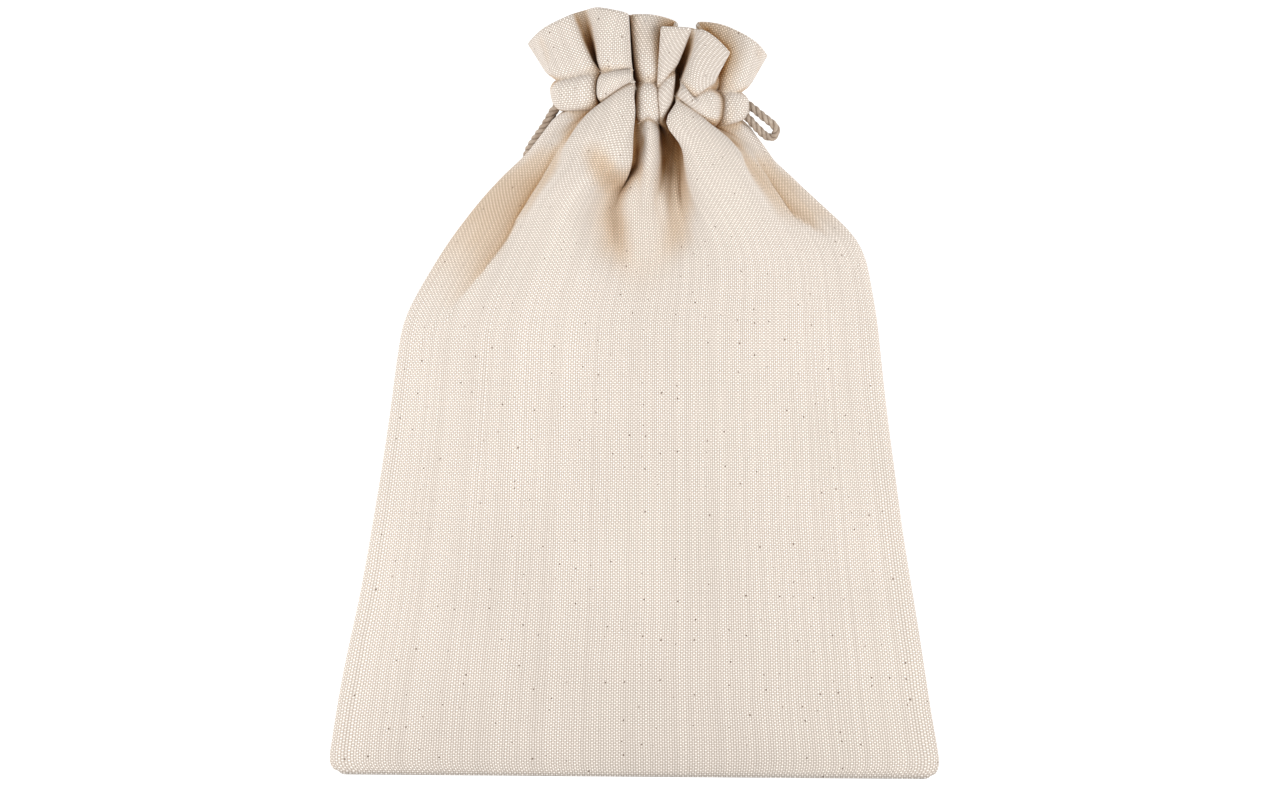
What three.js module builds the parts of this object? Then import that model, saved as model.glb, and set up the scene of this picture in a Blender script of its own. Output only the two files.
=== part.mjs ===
// Cotton canvas gift bag with its neck drawn up on a cord, lying on its back.
// x runs across the bag, y from the bottom fold up to the frill, z up off the table. Millimetres.
import * as THREE from 'three';

// Driving sizes
const clothWidth = 152; // across the flat bag, from seam to seam
const clothThickness = 1; // canvas, with its hem and seam plies evened out
const foldRadius = 0.9; // half the distance between front and back along the bottom fold
const seamBead = 0.8; // half the distance between front and back beside the side seams
const restHeight = clothThickness / 2; // middle of the cloth where the back lies on the table
const bottomSlope = 0.008; // the bottom fold runs down to the right
const footHeight = 152; // where the pleats of the neck have spread into the lobes of the body
const casingPuff = 0.7; // how far the pleats swell between the two rows of stitches
const fullCasing = 8; // between the two rows of stitches
const stitchDraw = { x: 0.035, z: 0.09 }; // how far the stitches draw the cloth in to the middle of the neck
const neckCentre = { x: 3.6, z: 15 };
// Side seams: at the neck with the heights of its two rows of stitches, lowX being their place on the lower row, and
// on the frill's edge
const seams = {
  left: { neck: { x: -20, lowX: -18.5, z: 15, low: 166, high: 174 }, top: { x: -26, z: 14, y: 183 } },
  right: { neck: { x: 27.6, z: 15, low: 164.2, high: 170.8 }, top: { x: 32.5, z: 14, y: 180 } },
};
const cordDiameter = 2.1;

// Smooth body, a row for each height: outline at the side seams, height of the seams and of the front's crown
// off the table, lift of the back off it, and the share of the back that lies flat
const bodySections = [
  { y: 0.9, left: -74.4, right: 74.6, seam: 1.5, crown: 2.4, lift: 0, resting: 0.97 },
  { y: 3, left: -75.8, right: 76, seam: 1.7, crown: 3.5, lift: 0, resting: 0.95 },
  { y: 7, left: -76, right: 76, seam: 2, crown: 5.2, lift: 0, resting: 0.93 },
  { y: 14, left: -75.1, right: 74.8, seam: 2.3, crown: 7.4, lift: 0, resting: 0.9 },
  { y: 29, left: -72.4, right: 72.5, seam: 2.8, crown: 11, lift: 0, resting: 0.86 },
  { y: 44, left: -69.1, right: 70.1, seam: 3.2, crown: 14, lift: 0, resting: 0.84 },
  { y: 59, left: -66.4, right: 67.6, seam: 3.6, crown: 16.8, lift: 0, resting: 0.82 },
  { y: 74, left: -63.9, right: 65.6, seam: 4, crown: 19.4, lift: 0, resting: 0.8 },
  { y: 89, left: -61.6, right: 63.6, seam: 4.5, crown: 21.8, lift: 0, resting: 0.78 },
  { y: 104, left: -59.6, right: 61.9, seam: 5.4, crown: 24, lift: 0, resting: 0.74 },
  { y: 113.5, left: -57.9, right: 60.9, seam: 6.4, crown: 25.4, lift: 0, resting: 0.7 },
  { y: 117.5, left: -56.2, right: 60.3, seam: 6.9, crown: 26, lift: 0, resting: 0.68 },
  { y: 122.5, left: -53.4, right: 59.4, seam: 7.6, crown: 26.6, lift: 0, resting: 0.64 },
  { y: 131.5, left: -47.9, right: 57.2, seam: 8.8, crown: 27.6, lift: 0, resting: 0.56 },
  { y: 134.5, left: -45.9, right: 55.6, seam: 9.3, crown: 27.9, lift: 0.1, resting: 0.52 },
  { y: 137.5, left: -43.6, right: 52.6, seam: 9.8, crown: 28.2, lift: 0.2, resting: 0.48 },
  { y: 143.5, left: -38.9, right: 46, seam: 10.9, crown: 28.6, lift: 0.6, resting: 0.4 },
  { y: 149.5, left: -33.4, right: 39.6, seam: 12.1, crown: 28.8, lift: 1.3, resting: 0.32 },
  { y: 155.5, left: -27.4, right: 34.4, seam: 13.4, crown: 28.6, lift: 2.3, resting: 0.24 },
];

// Pleats of the front from left to right, ridge and groove in turn, each with two shoulders half a width
// to either side of its middle. Lean turns the pair in degrees, so a groove near 90 is folded under.
// foot is the section in the body just under the neck, neck the section at the cord with the heights of
// its two rows of stitches at each shoulder, top the frill's edge, reach how far the fold runs below its foot.
// cloth is how far the two shoulders lie from the left seam on the flat cloth.
const frontPleats = [
  { name: 'left puff', cloth: [6, 16], reach: 18,
    foot: { x: -26.4, z: 17, half: 2.4, lean: 12 },
    neck: { x: -14.9, z: 23.6, half: 4.1, lean: 8, low: [166.2, 167.4], high: [174, 175] },
    top: { x: -18.2, z: 22.6, half: 4.4, lean: 14, y: [187, 190] } },
  { name: 'soft groove', cloth: [21, 23.5], reach: 16,
    foot: { x: -20.2, z: 16.6, half: 1.8, lean: 25 },
    neck: { x: -9, z: 17.6, half: 1.25, lean: 0, low: [167.6, 167.8], high: [175.4, 175.6] },
    top: { x: -10.6, z: 22.6, half: 1.6, lean: -6, y: [190.9, 191.4] } },
  { name: 'tall flare', cloth: [31, 55], reach: 24,
    foot: { x: -9.4, z: 28.8, half: 7.4, lean: 1 },
    neck: { x: -4.3, z: 26.2, half: 3.3, lean: 4, low: [168.2, 171.8], high: [176, 176.2] },
    top: { x: -5, z: 25.8, half: 3.4, lean: 0, y: [192, 190.8] } },
  { name: 'dark slit', cloth: [64, 67], reach: 26,
    foot: { x: 0.2, z: 18.8, half: 1.1, lean: -20 },
    neck: { x: 0.3, z: 17.8, half: 0.9, lean: 0, low: [171, 167], high: [175.6, 174.4] },
    top: { x: -1.9, z: 19.6, half: 1.1, lean: -62, y: [190.2, 190.2] } },
  { name: 'sunk flare', cloth: [73, 77.5], reach: 26,
    foot: { x: 4.2, z: 21.8, half: 1.8, lean: 0 },
    neck: { x: 3.2, z: 23.6, half: 1.6, lean: 0, low: [163.7, 163.5], high: [173.4, 173] },
    top: { x: 4.4, z: 20.6, half: 3.4, lean: 4, y: [190, 189.4] } },
  { name: 'left tuck', cloth: [80.5, 82], reach: 26,
    foot: { x: 7.4, z: 17, half: 0.8, lean: 0 },
    neck: { x: 6.1, z: 17.6, half: 0.9, lean: 0, low: [163.4, 163.3], high: [172.8, 173.2] },
    top: { x: 9.9, z: 21.2, half: 1.1, lean: 80, y: [188, 187] } },
  { name: 'narrow flare', cloth: [83.5, 85], reach: 24,
    foot: { x: 9.9, z: 17.2, half: 0.9, lean: 0 },
    neck: { x: 8.7, z: 25.4, half: 1.2, lean: 0, low: [163.4, 166], high: [173.8, 174.4] },
    top: { x: 9.4, z: 26, half: 2.4, lean: 12, y: [186.7, 186.5] } },
  { name: 'shallow groove', cloth: [86.5, 88.5], reach: 24,
    foot: { x: 12.2, z: 18.4, half: 0.6, lean: 30 },
    neck: { x: 11.6, z: 18.6, half: 0.9, lean: 0, low: [168, 169], high: [174.4, 173.8] },
    top: { x: 14, z: 24, half: 1.5, lean: 0, y: [186.3, 186.2] } },
  { name: 'turned flare', cloth: [96, 117], reach: 22,
    foot: { x: 20.2, z: 28.4, half: 6.4, lean: -2 },
    neck: { x: 16.2, z: 26.4, half: 2.9, lean: -3, low: [167.4, 163.8], high: [173, 170.8] },
    top: { x: 19.4, z: 26.8, half: 3.3, lean: -16, y: [185.7, 182.2] } },
  { name: 'right tuck', cloth: [129, 131.5], reach: 14,
    foot: { x: 30, z: 17.8, half: 2, lean: -25 },
    neck: { x: 21.1, z: 17.4, half: 1.3, lean: 0, low: [162.6, 162.4], high: [170.8, 170.8] },
    top: { x: 17, z: 21.2, half: 1.1, lean: -85, y: [187.8, 188.2] } },
  { name: 'right end', cloth: [137, 143], reach: 14,
    foot: { x: 34, z: 16.8, half: 1.3, lean: -14 },
    neck: { x: 24.5, z: 22, half: 1.8, lean: -14, low: [162.4, 163.4], high: [171, 171] },
    top: { x: 25.6, z: 19.4, half: 4, lean: -12, y: [186.6, 183.4] } },
];

// Pleats of the back from right to left: the share of the width that each ridge takes, and the height of its edge
const backPleats = {
  ridge: { z: 4.4, topZ: 2.2, clothHalf: 4 },
  groove: { z: 8.2, topZ: 6, clothHalf: 1.5, half: 1.15, dip: 0.6 },
  wall: 0.7, // sideways run of a pleat's wall
  inset: 1.8, // from a seam to the foot of the first ridge
};
const backRidges = [
  { share: 1.15, edgeY: 183.5 },
  { share: 0.85, edgeY: 185.8 },
  { share: 1.05, edgeY: 186.9 },
  { share: 0.9, edgeY: 187.6 },
  { share: 1.1, edgeY: 187.2 },
  { share: 0.95, edgeY: 185 },
];

// Large soft forms of the front below the pleats' feet: a trough (negative) or swell along a line, from where it is
// full to where it dies out
const bodyForms = [
  { name: 'middle trough', from: { x: 5, y: 148 }, to: { x: 4, y: 106 }, half: [9, 16], height: -5.5 },
  { name: 'left crease', from: { x: -23, y: 150 }, to: { x: -50, y: 108 }, half: [3.6, 5], height: -10 },
  { name: 'right crease', from: { x: 32, y: 150 }, to: { x: 54, y: 128 }, half: [3.4, 5], height: -9 },
  { name: 'left lobe', from: { x: -12, y: 148 }, to: { x: -32, y: 108 }, half: [8, 13], height: 2.4 },
  { name: 'right lobe', from: { x: 22, y: 148 }, to: { x: 36, y: 112 }, half: [7, 12], height: 2 },
];

// The cord's two ends, from the left seam under the shoulder and along under the back, which rides up over them
const cordChannel = { rise: 4.4, half: 8 };
const endKnot = { length: 5, swell: 0.7 };
const outerEnd = [
  { x: -20.3, y: 166.3, z: 14.2 },
  { x: -21.4, y: 164.4, z: 13.3 },
  { x: -22.8, y: 162.1, z: 12 },
  { x: -24.6, y: 159.6, z: 10.4 },
  { x: -26.3, y: 156.9, z: 8.4 },
  { x: -27.5, y: 153.6, z: 6.3 },
  { x: -29.2, y: 149.8, z: 4.4 },
  { x: -30.9, y: 145.4, z: 2.8 },
  { x: -32.7, y: 140, z: 1.7 },
  { x: -34.3, y: 133, z: 1.15 },
  { x: -36.4, y: 121, z: 1.15 },
  { x: -38.6, y: 106, z: 1.15 },
  { x: -39.8, y: 90, z: 1.15 },
  { x: -39.6, y: 74, z: 1.15 },
  { x: -38, y: 59, z: 1.35 },
  { x: -35.8, y: 46, z: 2.1 },
];
const innerEnd = [
  { x: -20.2, y: 166, z: 11.6 },
  { x: -21.2, y: 164, z: 10.3 },
  { x: -23.1, y: 161.5, z: 8.2 },
  { x: -24.2, y: 158.6, z: 5.5 },
  { x: -24.8, y: 155.2, z: 4 },
  { x: -26.3, y: 151, z: 2.9 },
  { x: -27.9, y: 146.4, z: 1.8 },
  { x: -29.7, y: 140.6, z: 1.3 },
  { x: -31.4, y: 133, z: 1.15 },
  { x: -33.6, y: 121, z: 1.15 },
  { x: -35.9, y: 106, z: 1.15 },
  { x: -37.1, y: 90, z: 1.15 },
  { x: -36.9, y: 74, z: 1.15 },
  { x: -35, y: 60, z: 1.35 },
  { x: -31.8, y: 49, z: 2.1 },
];
// The cord's loop at the right, out of the front of the casing and back into its back
const loopRoute = [
  { x: 29.9, y: 166.6, z: 18.9 },
  { x: 31.2, y: 165.5, z: 19.2 },
  { x: 32.8, y: 164.2, z: 19.2 },
  { x: 34.2, y: 163.1, z: 18.8 },
  { x: 35.2, y: 162, z: 18.4 },
  { x: 35.3, y: 160.7, z: 18 },
  { x: 34.3, y: 159.6, z: 17.9 },
  { x: 32.9, y: 159.9, z: 18.1 },
  { x: 31.6, y: 160.9, z: 18.9 },
  { x: 30.7, y: 161.8, z: 19.5 },
  { x: 30, y: 162.5, z: 19.8 },
];
const cordTwist = { plies: 3, lay: 5.4, groove: 0.16 }; // lay is the length of one full turn

const samplesPerSpan = 2;
const underCasing = [0.3, 0.6, 0.83]; // rows between the foot and the lower stitches
const insideCasing = [0.2, 0.5, 0.8]; // rows between the two rows of stitches
const upFrill = [0.14, 0.38, 0.7, 1]; // rows between the upper stitches and the frill's edge

const mix = (a, b, t) => a + (b - a) * t;
const clamp01 = (t) => Math.min(1, Math.max(0, t));
const ease = (low, high, t) => THREE.MathUtils.smoothstep(t, low, high);

// The body row at any height, between the rows of the table, inside the outline by half the cloth.
function bodyAt(y) {
  const last = bodySections.length - 2;
  const below = Math.min(last, Math.max(0, bodySections.findLastIndex((row) => row.y <= y)));
  const [a, b] = [bodySections[below], bodySections[below + 1]];
  const t = clamp01((y - a.y) / (b.y - a.y));
  const row = Object.fromEntries(Object.keys(a).map((key) => [key, mix(a[key], b[key], t)]));
  row.left += clothThickness / 2;
  row.right -= clothThickness / 2;
  return row;
}

// The two shoulders of a pleat; way is 1 from left to right along the front, -1 along the back.
function shoulders({ x, z, half, lean = 0, ...heights }, way) {
  const turn = THREE.MathUtils.degToRad(lean);
  const across = way * half * Math.cos(turn);
  const up = half * Math.sin(turn);
  return [-1, 1].map((side, i) => {
    const heightsHere = Object.fromEntries(Object.entries(heights).map(([key, pair]) => [key, pair[i]]));
    return { x: x + side * across, z: z + side * up, ...heightsHere };
  });
}

// Back pleats in the same form as the front ones, spread from the right seam to the left one.
function spreadBackPleats() {
  const { left, right } = seams;
  const { inset, wall, groove } = backPleats;
  const total = backRidges.reduce((sum, ridge) => sum + ridge.share, 0);
  const rows = [];
  let done = 0;
  const between = (level, place) => mix(right[level].x - inset, left[level].x + inset, place);
  const addRow = (kind, place, neckHalf, topHalf, edgeY) => rows.push({
    reach: 0,
    cloth: [-1, 1].map((side) => place * clothWidth + side * backPleats[kind].clothHalf),
    neck: {
      x: between('neck', place), z: backPleats[kind].z, half: neckHalf,
      low: Array(2).fill(mix(right.neck.low, left.neck.low, place)),
      high: Array(2).fill(mix(right.neck.high, left.neck.high, place)),
    },
    top: { x: between('top', place), z: backPleats[kind].topZ, half: topHalf, y: [edgeY, edgeY] },
  });
  backRidges.forEach(({ share, edgeY }, i) => {
    const halfAt = (level) => (between(level, 0) - between(level, share / total)) / 2 - groove.half - wall;
    addRow('ridge', (done + share / 2) / total, halfAt('neck'), halfAt('top'), edgeY);
    done += share;
    if (i === backRidges.length - 1) return;
    const dip = (edgeY + backRidges[i + 1].edgeY) / 2 - groove.dip;
    addRow('groove', done / total, groove.half, groove.half, dip);
  });
  return rows;
}

// One line for each seam and pleat shoulder, in order around the bag from the left seam.
function foldLines() {
  const fromPleats = (pleats, way) => pleats.flatMap((pleat) => {
    const neck = shoulders(pleat.neck, way);
    const top = shoulders(pleat.top, way);
    const foot = pleat.foot && shoulders(pleat.foot, way);
    return [0, 1].map((i) => ({
      way, reach: pleat.reach, share: pleat.cloth[i] / clothWidth, neck: neck[i], top: top[i], foot: foot && foot[i],
    }));
  });
  const front = [
    { way: 0, share: 0, ...seams.left }, ...fromPleats(frontPleats, 1), { way: 0, share: 1, ...seams.right }];
  const back = fromPleats(spreadBackPleats(), -1);
  const lines = [...front, ...back];
  lines.forEach((line, i) => {
    line.evenShare = i < front.length ? i / (front.length - 1) : (i - front.length + 1) / (back.length + 1);
  });
  return lines;
}

// A point of the plain front at a share of its length: a crowned arc between the seams.
function plainFront(body, share) {
  const steps = 48;
  const arc = [];
  let length = 0;
  for (let i = 0; i <= steps; i++) {
    const across = i / steps;
    const point = {
      x: mix(body.left, body.right, across),
      z: mix(body.seam + seamBead, body.crown, 1 - Math.abs(2 * across - 1) ** 2.6),
    };
    if (i) length += Math.hypot(point.x - arc[i - 1].x, point.z - arc[i - 1].z);
    arc.push({ ...point, length });
  }
  const i = Math.max(1, arc.findIndex((point) => point.length >= share * length - 1e-9));
  const t = (share * length - arc[i - 1].length) / (arc[i].length - arc[i - 1].length);
  return { x: mix(arc[i - 1].x, arc[i].x, t), z: mix(arc[i - 1].z, arc[i].z, t) };
}

// A point of the plain back: flat on the table in its resting middle and turned up to the seams.
function plainBack(body, share) {
  const across = Math.abs(2 * share - 1);
  const turnedUp = clamp01((across - body.resting) / (1 - body.resting)) ** 2;
  const z = mix(restHeight + body.lift, body.seam - seamBead, turnedUp);
  return { x: mix(body.right, body.left, share), z: Math.max(z, restHeight) };
}

function formHeight(x, y) {
  return bodyForms.reduce((sum, { from, to, half, height }) => {
    const along = clamp01((from.y - y) / (from.y - to.y));
    const off = (x - mix(from.x, to.x, along)) / mix(half[0], half[1], along);
    const underFoot = 1 - ease(from.y - 8, footHeight, y);
    return sum + height * underFoot * (1 - ease(0, 1, along)) * Math.exp(-off * off);
  }, 0);
}

// Where a route crosses a height.
function routeX(route, y) {
  const above = Math.min(route.length - 2, Math.max(0, route.findLastIndex((point) => point.y > y)));
  const [a, b] = [route[above], route[above + 1]];
  return mix(a.x, b.x, clamp01((y - a.y) / (b.y - a.y)));
}

function channelRise(x, y) {
  const endsAt = outerEnd.at(-1).y - endKnot.length;
  const off = (x - (routeX(outerEnd, y) + routeX(innerEnd, y)) / 2) / cordChannel.half;
  return cordChannel.rise * ease(endsAt - 14, endsAt - 2, y) * ease(0, 1, 1.6 - Math.abs(off));
}

// The cloth without its pleats at one height.
function plainPoint(line, y) {
  const body = bodyAt(y);
  const share = mix(line.evenShare, line.share, ease(20, 112, y));
  if (line.way === 0) return { x: line.share ? body.right : body.left, z: body.seam };
  if (line.way > 0) return plainFront(body, share);
  const point = plainBack(body, share);
  point.z = Math.max(point.z, restHeight + channelRise(point.x, y));
  return point;
}

// A fold line's point in the body. Below its foot the pleat fades into the plain cloth.
function bodyPoint(line, y) {
  const plain = plainPoint(line, y);
  const point = new THREE.Vector3(plain.x, y - plain.x * bottomSlope * (1 - ease(0, 60, y)), plain.z);
  if (line.way > 0) {
    const start = plainPoint(line, footHeight);
    const fade = ease(footHeight - line.reach, footHeight, y);
    point.x += (line.foot.x - start.x) * fade;
    point.z += (line.foot.z - start.z) * fade + formHeight(point.x, y);
  }
  return point;
}

// Across the neck at a share of the way from the lower stitches to the upper ones.
const neckX = ({ x, lowX = x }, share) => mix(lowX, x, share);

// Between the foot and the lower stitches, at a share of the way up.
function underCasingPoint({ neck, ...line }, share) {
  const foot = bodyPoint(line, footHeight);
  const drawn = share ** (0.6 + 1.6 * Math.sqrt(Math.sin(Math.PI * line.share))); // the seams spread last
  return new THREE.Vector3(
    mix(foot.x, neckX(neck, 0), drawn), mix(footHeight, neck.low, share), mix(foot.z, neck.z, drawn));
}

// On a row of stitches, drawn in to the middle of the neck, less where the casing is short.
function stitchPoint({ neck }, row) {
  const drawn = Math.min(1, (neck.high - neck.low) / fullCasing);
  const x = neckX(neck, row === 'low' ? 0 : 1);
  return new THREE.Vector3(
    mix(x, neckCentre.x, drawn * stitchDraw.x), neck[row], mix(neck.z, neckCentre.z, drawn * stitchDraw.z));
}

// Between the two rows of stitches, where each ridge swells over the cord.
function casingPoint({ neck }, share) {
  const out = new THREE.Vector2(neck.x - neckCentre.x, 2 * (neck.z - neckCentre.z));
  const ridge = ease(8, 20, out.length());
  out.normalize().multiplyScalar(casingPuff * ridge * Math.sin(Math.PI * share));
  return new THREE.Vector3(neckX(neck, share) + out.x, mix(neck.low, neck.high, share), neck.z + out.y);
}

function frillPoint({ neck, top }, share) {
  return new THREE.Vector3(
    mix(neck.x, top.x, share), mix(neck.high, top.y, share), mix(neck.z, top.z, share));
}

// Every row that a fold line passes through, from the bottom fold to the frill's edge.
function stations(line) {
  const bodyHeights = bodySections.map((row) => row.y).filter((y) => y < footHeight - 3);
  return [
    ...[...bodyHeights, footHeight].map((y) => bodyPoint(line, y)),
    ...underCasing.map((share) => underCasingPoint(line, share)),
    stitchPoint(line, 'low'),
    ...insideCasing.map((share) => casingPoint(line, share)),
    stitchPoint(line, 'high'),
    ...upFrill.map((share) => frillPoint(line, share)),
  ];
}

// A smooth closed section through its control points.
function smoothSection(points) {
  const at = (i) => points[(i + points.length) % points.length];
  return points.flatMap((start, i) => Array.from({ length: samplesPerSpan }, (_, step) => {
    const t = step / samplesPerSpan;
    const blend = (axis) => {
      const [p, q, r, s] = [at(i - 1)[axis], start[axis], at(i + 1)[axis], at(i + 2)[axis]];
      const [inward, outward] = [(r - p) / 2, (s - q) / 2];
      return q + t * (inward + t * (3 * (r - q) - 2 * inward - outward + t * (2 * (q - r) + inward + outward)));
    };
    return new THREE.Vector3(blend('x'), blend('y'), blend('z'));
  }));
}

// The cloth's middle surface, a closed section for each row.
function clothRows() {
  const lines = foldLines().map(stations);
  const rows = lines[0].map((_, row) => smoothSection(lines.map((line) => line[row])));
  rows.flat().forEach((point) => point.setZ(Math.max(point.z, restHeight)));
  return rows;
}

// Gives the cloth its thickness to both sides and closes it along the bottom fold and the frill's edge.
function bagGeometry() {
  const rows = clothRows();
  const around = rows[0].length;
  const half = around / 2;
  const fold = rows[0].slice(0, half + 1).map(
    (point) => new THREE.Vector3(point.x, point.y - foldRadius, restHeight + foldRadius));
  const foldOf = (c) => (c <= half ? c : around - c);
  const normalAt = (r, c) => {
    const above = rows[Math.min(r + 1, rows.length - 1)][c];
    const below = r ? rows[r - 1][c] : fold[foldOf(c)];
    const along = new THREE.Vector3().subVectors(rows[r][(c + 1) % around], rows[r][(c + around - 1) % around]);
    return along.cross(new THREE.Vector3().subVectors(above, below)).normalize();
  };
  const positions = [];
  const add = (point, normal, side) => positions.push(
    ...point.clone().addScaledVector(normal, side * clothThickness / 2).toArray());
  for (const side of [1, -1]) {
    rows.forEach((row, r) => row.forEach((point, c) => add(point, normalAt(r, c), side)));
    fold.slice(1, -1).forEach((point) => add(point, new THREE.Vector3(0, -1, 0), side));
  }
  const layer = positions.length / 6;
  const vertex = (side, r, c) => side * layer + r * around + (c % around);
  const foldVertex = (side, c) => {
    const k = foldOf(c);
    if (k === 0 || k === half) return vertex(side, 0, k);
    return side * layer + rows.length * around + k - 1;
  };
  const index = [];
  const quad = (a, b, c, d) => [[a, b, c], [a, c, d]].forEach((triangle) => {
    if (new Set(triangle).size === 3) index.push(...triangle);
  });
  for (let c = 0; c < around; c++) {
    for (let r = 0; r < rows.length - 1; r++) {
      quad(vertex(0, r, c), vertex(0, r, c + 1), vertex(0, r + 1, c + 1), vertex(0, r + 1, c));
      quad(vertex(1, r, c), vertex(1, r + 1, c), vertex(1, r + 1, c + 1), vertex(1, r, c + 1));
    }
    quad(foldVertex(0, c), foldVertex(0, c + 1), vertex(0, 0, c + 1), vertex(0, 0, c));
    quad(foldVertex(1, c), vertex(1, 0, c), vertex(1, 0, c + 1), foldVertex(1, c + 1));
    const edge = rows.length - 1;
    quad(vertex(0, edge, c), vertex(0, edge, c + 1), vertex(1, edge, c + 1), vertex(1, edge, c));
  }
  return closedGeometry(positions, index);
}

function closedGeometry(positions, index) {
  const geometry = new THREE.BufferGeometry();
  geometry.setAttribute('position', new THREE.Float32BufferAttribute(positions, 3));
  geometry.setIndex(index);
  geometry.computeVertexNormals();
  return geometry;
}

// A cord along a route. radiusAt gives its radius at a length and an angle around it.
function cordGeometry(route, sides, step, radiusAt) {
  const curve = new THREE.CatmullRomCurve3(route.map(({ x, y, z }) => new THREE.Vector3(x, y, z)));
  const length = curve.getLength();
  const steps = Math.ceil(length / step);
  const frames = curve.computeFrenetFrames(steps, false);
  const positions = [];
  for (let i = 0; i <= steps; i++) {
    const centre = curve.getPointAt(i / steps);
    for (let k = 0; k < sides; k++) {
      const angle = 2 * Math.PI * k / sides;
      const radius = radiusAt(i / steps * length, angle, length);
      positions.push(...centre.clone()
        .addScaledVector(frames.normals[i], radius * Math.cos(angle))
        .addScaledVector(frames.binormals[i], radius * Math.sin(angle)).toArray());
    }
  }
  const ends = [positions.length / 3, positions.length / 3 + 1];
  positions.push(...curve.getPointAt(0).toArray(), ...curve.getPointAt(1).toArray());
  const index = [];
  for (let k = 0; k < sides; k++) {
    const next = (k + 1) % sides;
    for (let i = 0; i < steps; i++) {
      const [a, b] = [i * sides + k, i * sides + next];
      index.push(a, b, b + sides, a, b + sides, a + sides);
    }
    index.push(ends[0], next, k, ends[1], steps * sides + k, steps * sides + next);
  }
  return closedGeometry(positions, index);
}

// Three plies laid round each other
const twistedRadius = (along, angle) => {
  const phase = cordTwist.plies * (angle - 2 * Math.PI * along / cordTwist.lay);
  return cordDiameter / 2 * (1 - cordTwist.groove / 2 * (1 - Math.cos(phase)));
};

// A plain cord with a knot at its far end
const knottedRadius = (along, angle, length) => {
  const intoKnot = clamp01((along - (length - endKnot.length)) / endKnot.length);
  return cordDiameter / 2 + endKnot.swell * Math.sin(Math.PI * intoKnot);
};

const canvas = new THREE.MeshStandardMaterial({ color: 0xe9ddd0, roughness: 0.95, metalness: 0 });
const cotton = new THREE.MeshStandardMaterial({ color: 0xd9cbbd, roughness: 0.9, metalness: 0 });

function addMesh(group, name, geometry, material) {
  const mesh = new THREE.Mesh(geometry, material);
  mesh.name = name;
  group.add(mesh);
  return mesh;
}

const giftBag = new THREE.Group();
giftBag.name = 'gift_bag';
const bag = addMesh(giftBag, 'bag', bagGeometry(), canvas);
addMesh(giftBag, 'cord_loop', cordGeometry(loopRoute, 9, 0.5, twistedRadius), cotton);
addMesh(giftBag, 'cord_end_outer', cordGeometry(outerEnd, 8, 3, knottedRadius), cotton);
addMesh(giftBag, 'cord_end_inner', cordGeometry(innerEnd, 8, 3, knottedRadius), cotton);

// The origin is on the table under the middle of the bag
const middle = new THREE.Box3().setFromObject(bag).getCenter(new THREE.Vector3());
giftBag.position.set(-middle.x, -middle.y, 0);

export default giftBag;
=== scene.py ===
import math

import bpy
import numpy as np
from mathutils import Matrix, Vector


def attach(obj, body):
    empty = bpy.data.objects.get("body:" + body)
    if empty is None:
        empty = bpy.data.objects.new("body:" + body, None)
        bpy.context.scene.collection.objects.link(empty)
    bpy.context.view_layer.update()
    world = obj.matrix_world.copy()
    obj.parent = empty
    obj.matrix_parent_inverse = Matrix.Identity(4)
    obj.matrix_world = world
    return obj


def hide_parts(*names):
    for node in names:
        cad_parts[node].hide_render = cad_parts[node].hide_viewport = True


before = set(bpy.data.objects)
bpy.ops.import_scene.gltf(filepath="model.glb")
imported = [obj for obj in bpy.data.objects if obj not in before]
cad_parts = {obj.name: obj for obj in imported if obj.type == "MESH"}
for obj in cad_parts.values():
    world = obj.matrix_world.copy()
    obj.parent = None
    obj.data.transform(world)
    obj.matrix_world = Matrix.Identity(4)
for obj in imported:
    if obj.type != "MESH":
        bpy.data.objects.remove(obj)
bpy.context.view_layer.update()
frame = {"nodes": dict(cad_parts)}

mm = 0.001
bagShift = np.array([0.0, -95.47, 0.0])  # from the bag's own millimetres to the frame's
print("frame loaded:", ", ".join(frame["nodes"]))


# sRGB hex to the linear colour that the shaders use
def linearColour(hexCode):
    channels = [int(hexCode[i:i + 2], 16) / 255 for i in (1, 3, 5)]
    return [c / 12.92 if c <= 0.04045 else ((c + 0.055) / 1.055) ** 2.4 for c in channels] + [1.0]


# one node with its settings; an input that is given a socket is linked to it, and one that is given a node to
# the first of its outputs in use
def addNode(tree, kind, inputs=None, **settings):
    node = tree.nodes.new(kind)
    for key, value in settings.items():
        setattr(node, key, value)
    inUse = [socket for socket in node.inputs if socket.enabled]
    for key, value in (inputs or {}).items():
        socket = inUse[key] if isinstance(key, int) else next(s for s in inUse if s.name == key)
        if isinstance(value, bpy.types.Node):
            value = next(s for s in value.outputs if s.enabled)
        if isinstance(value, bpy.types.NodeSocket):
            tree.links.new(value, socket)
        else:
            socket.default_value = value
    return node


def newMaterial(name):
    material = bpy.data.materials.new(name)
    material.use_nodes = True
    tree = material.node_tree
    tree.nodes.clear()
    return material, tree


def addObject(name, vertices, faces, material):
    mesh = bpy.data.meshes.new(name)
    mesh.from_pydata([tuple(v) for v in vertices], [], [tuple(f) for f in faces])
    mesh.materials.append(material)
    mesh.shade_smooth()
    made = bpy.data.objects.new(name, mesh)
    bpy.context.scene.collection.objects.link(made)
    return made


def addAttribute(made, name, values):
    attribute = made.data.attributes.new(name, "FLOAT", "POINT")
    attribute.data.foreach_set("value", np.asarray(values, dtype=np.float32))


def toFrame(points):
    return (np.asarray(points, dtype=float) + bagShift) * mm


def mix(a, b, t):
    return a + (b - a) * t


def ease(low, high, t):
    t = np.clip((np.asarray(t, dtype=float) - low) / (high - low), 0, 1)
    return t * t * (3 - 2 * t)


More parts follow.
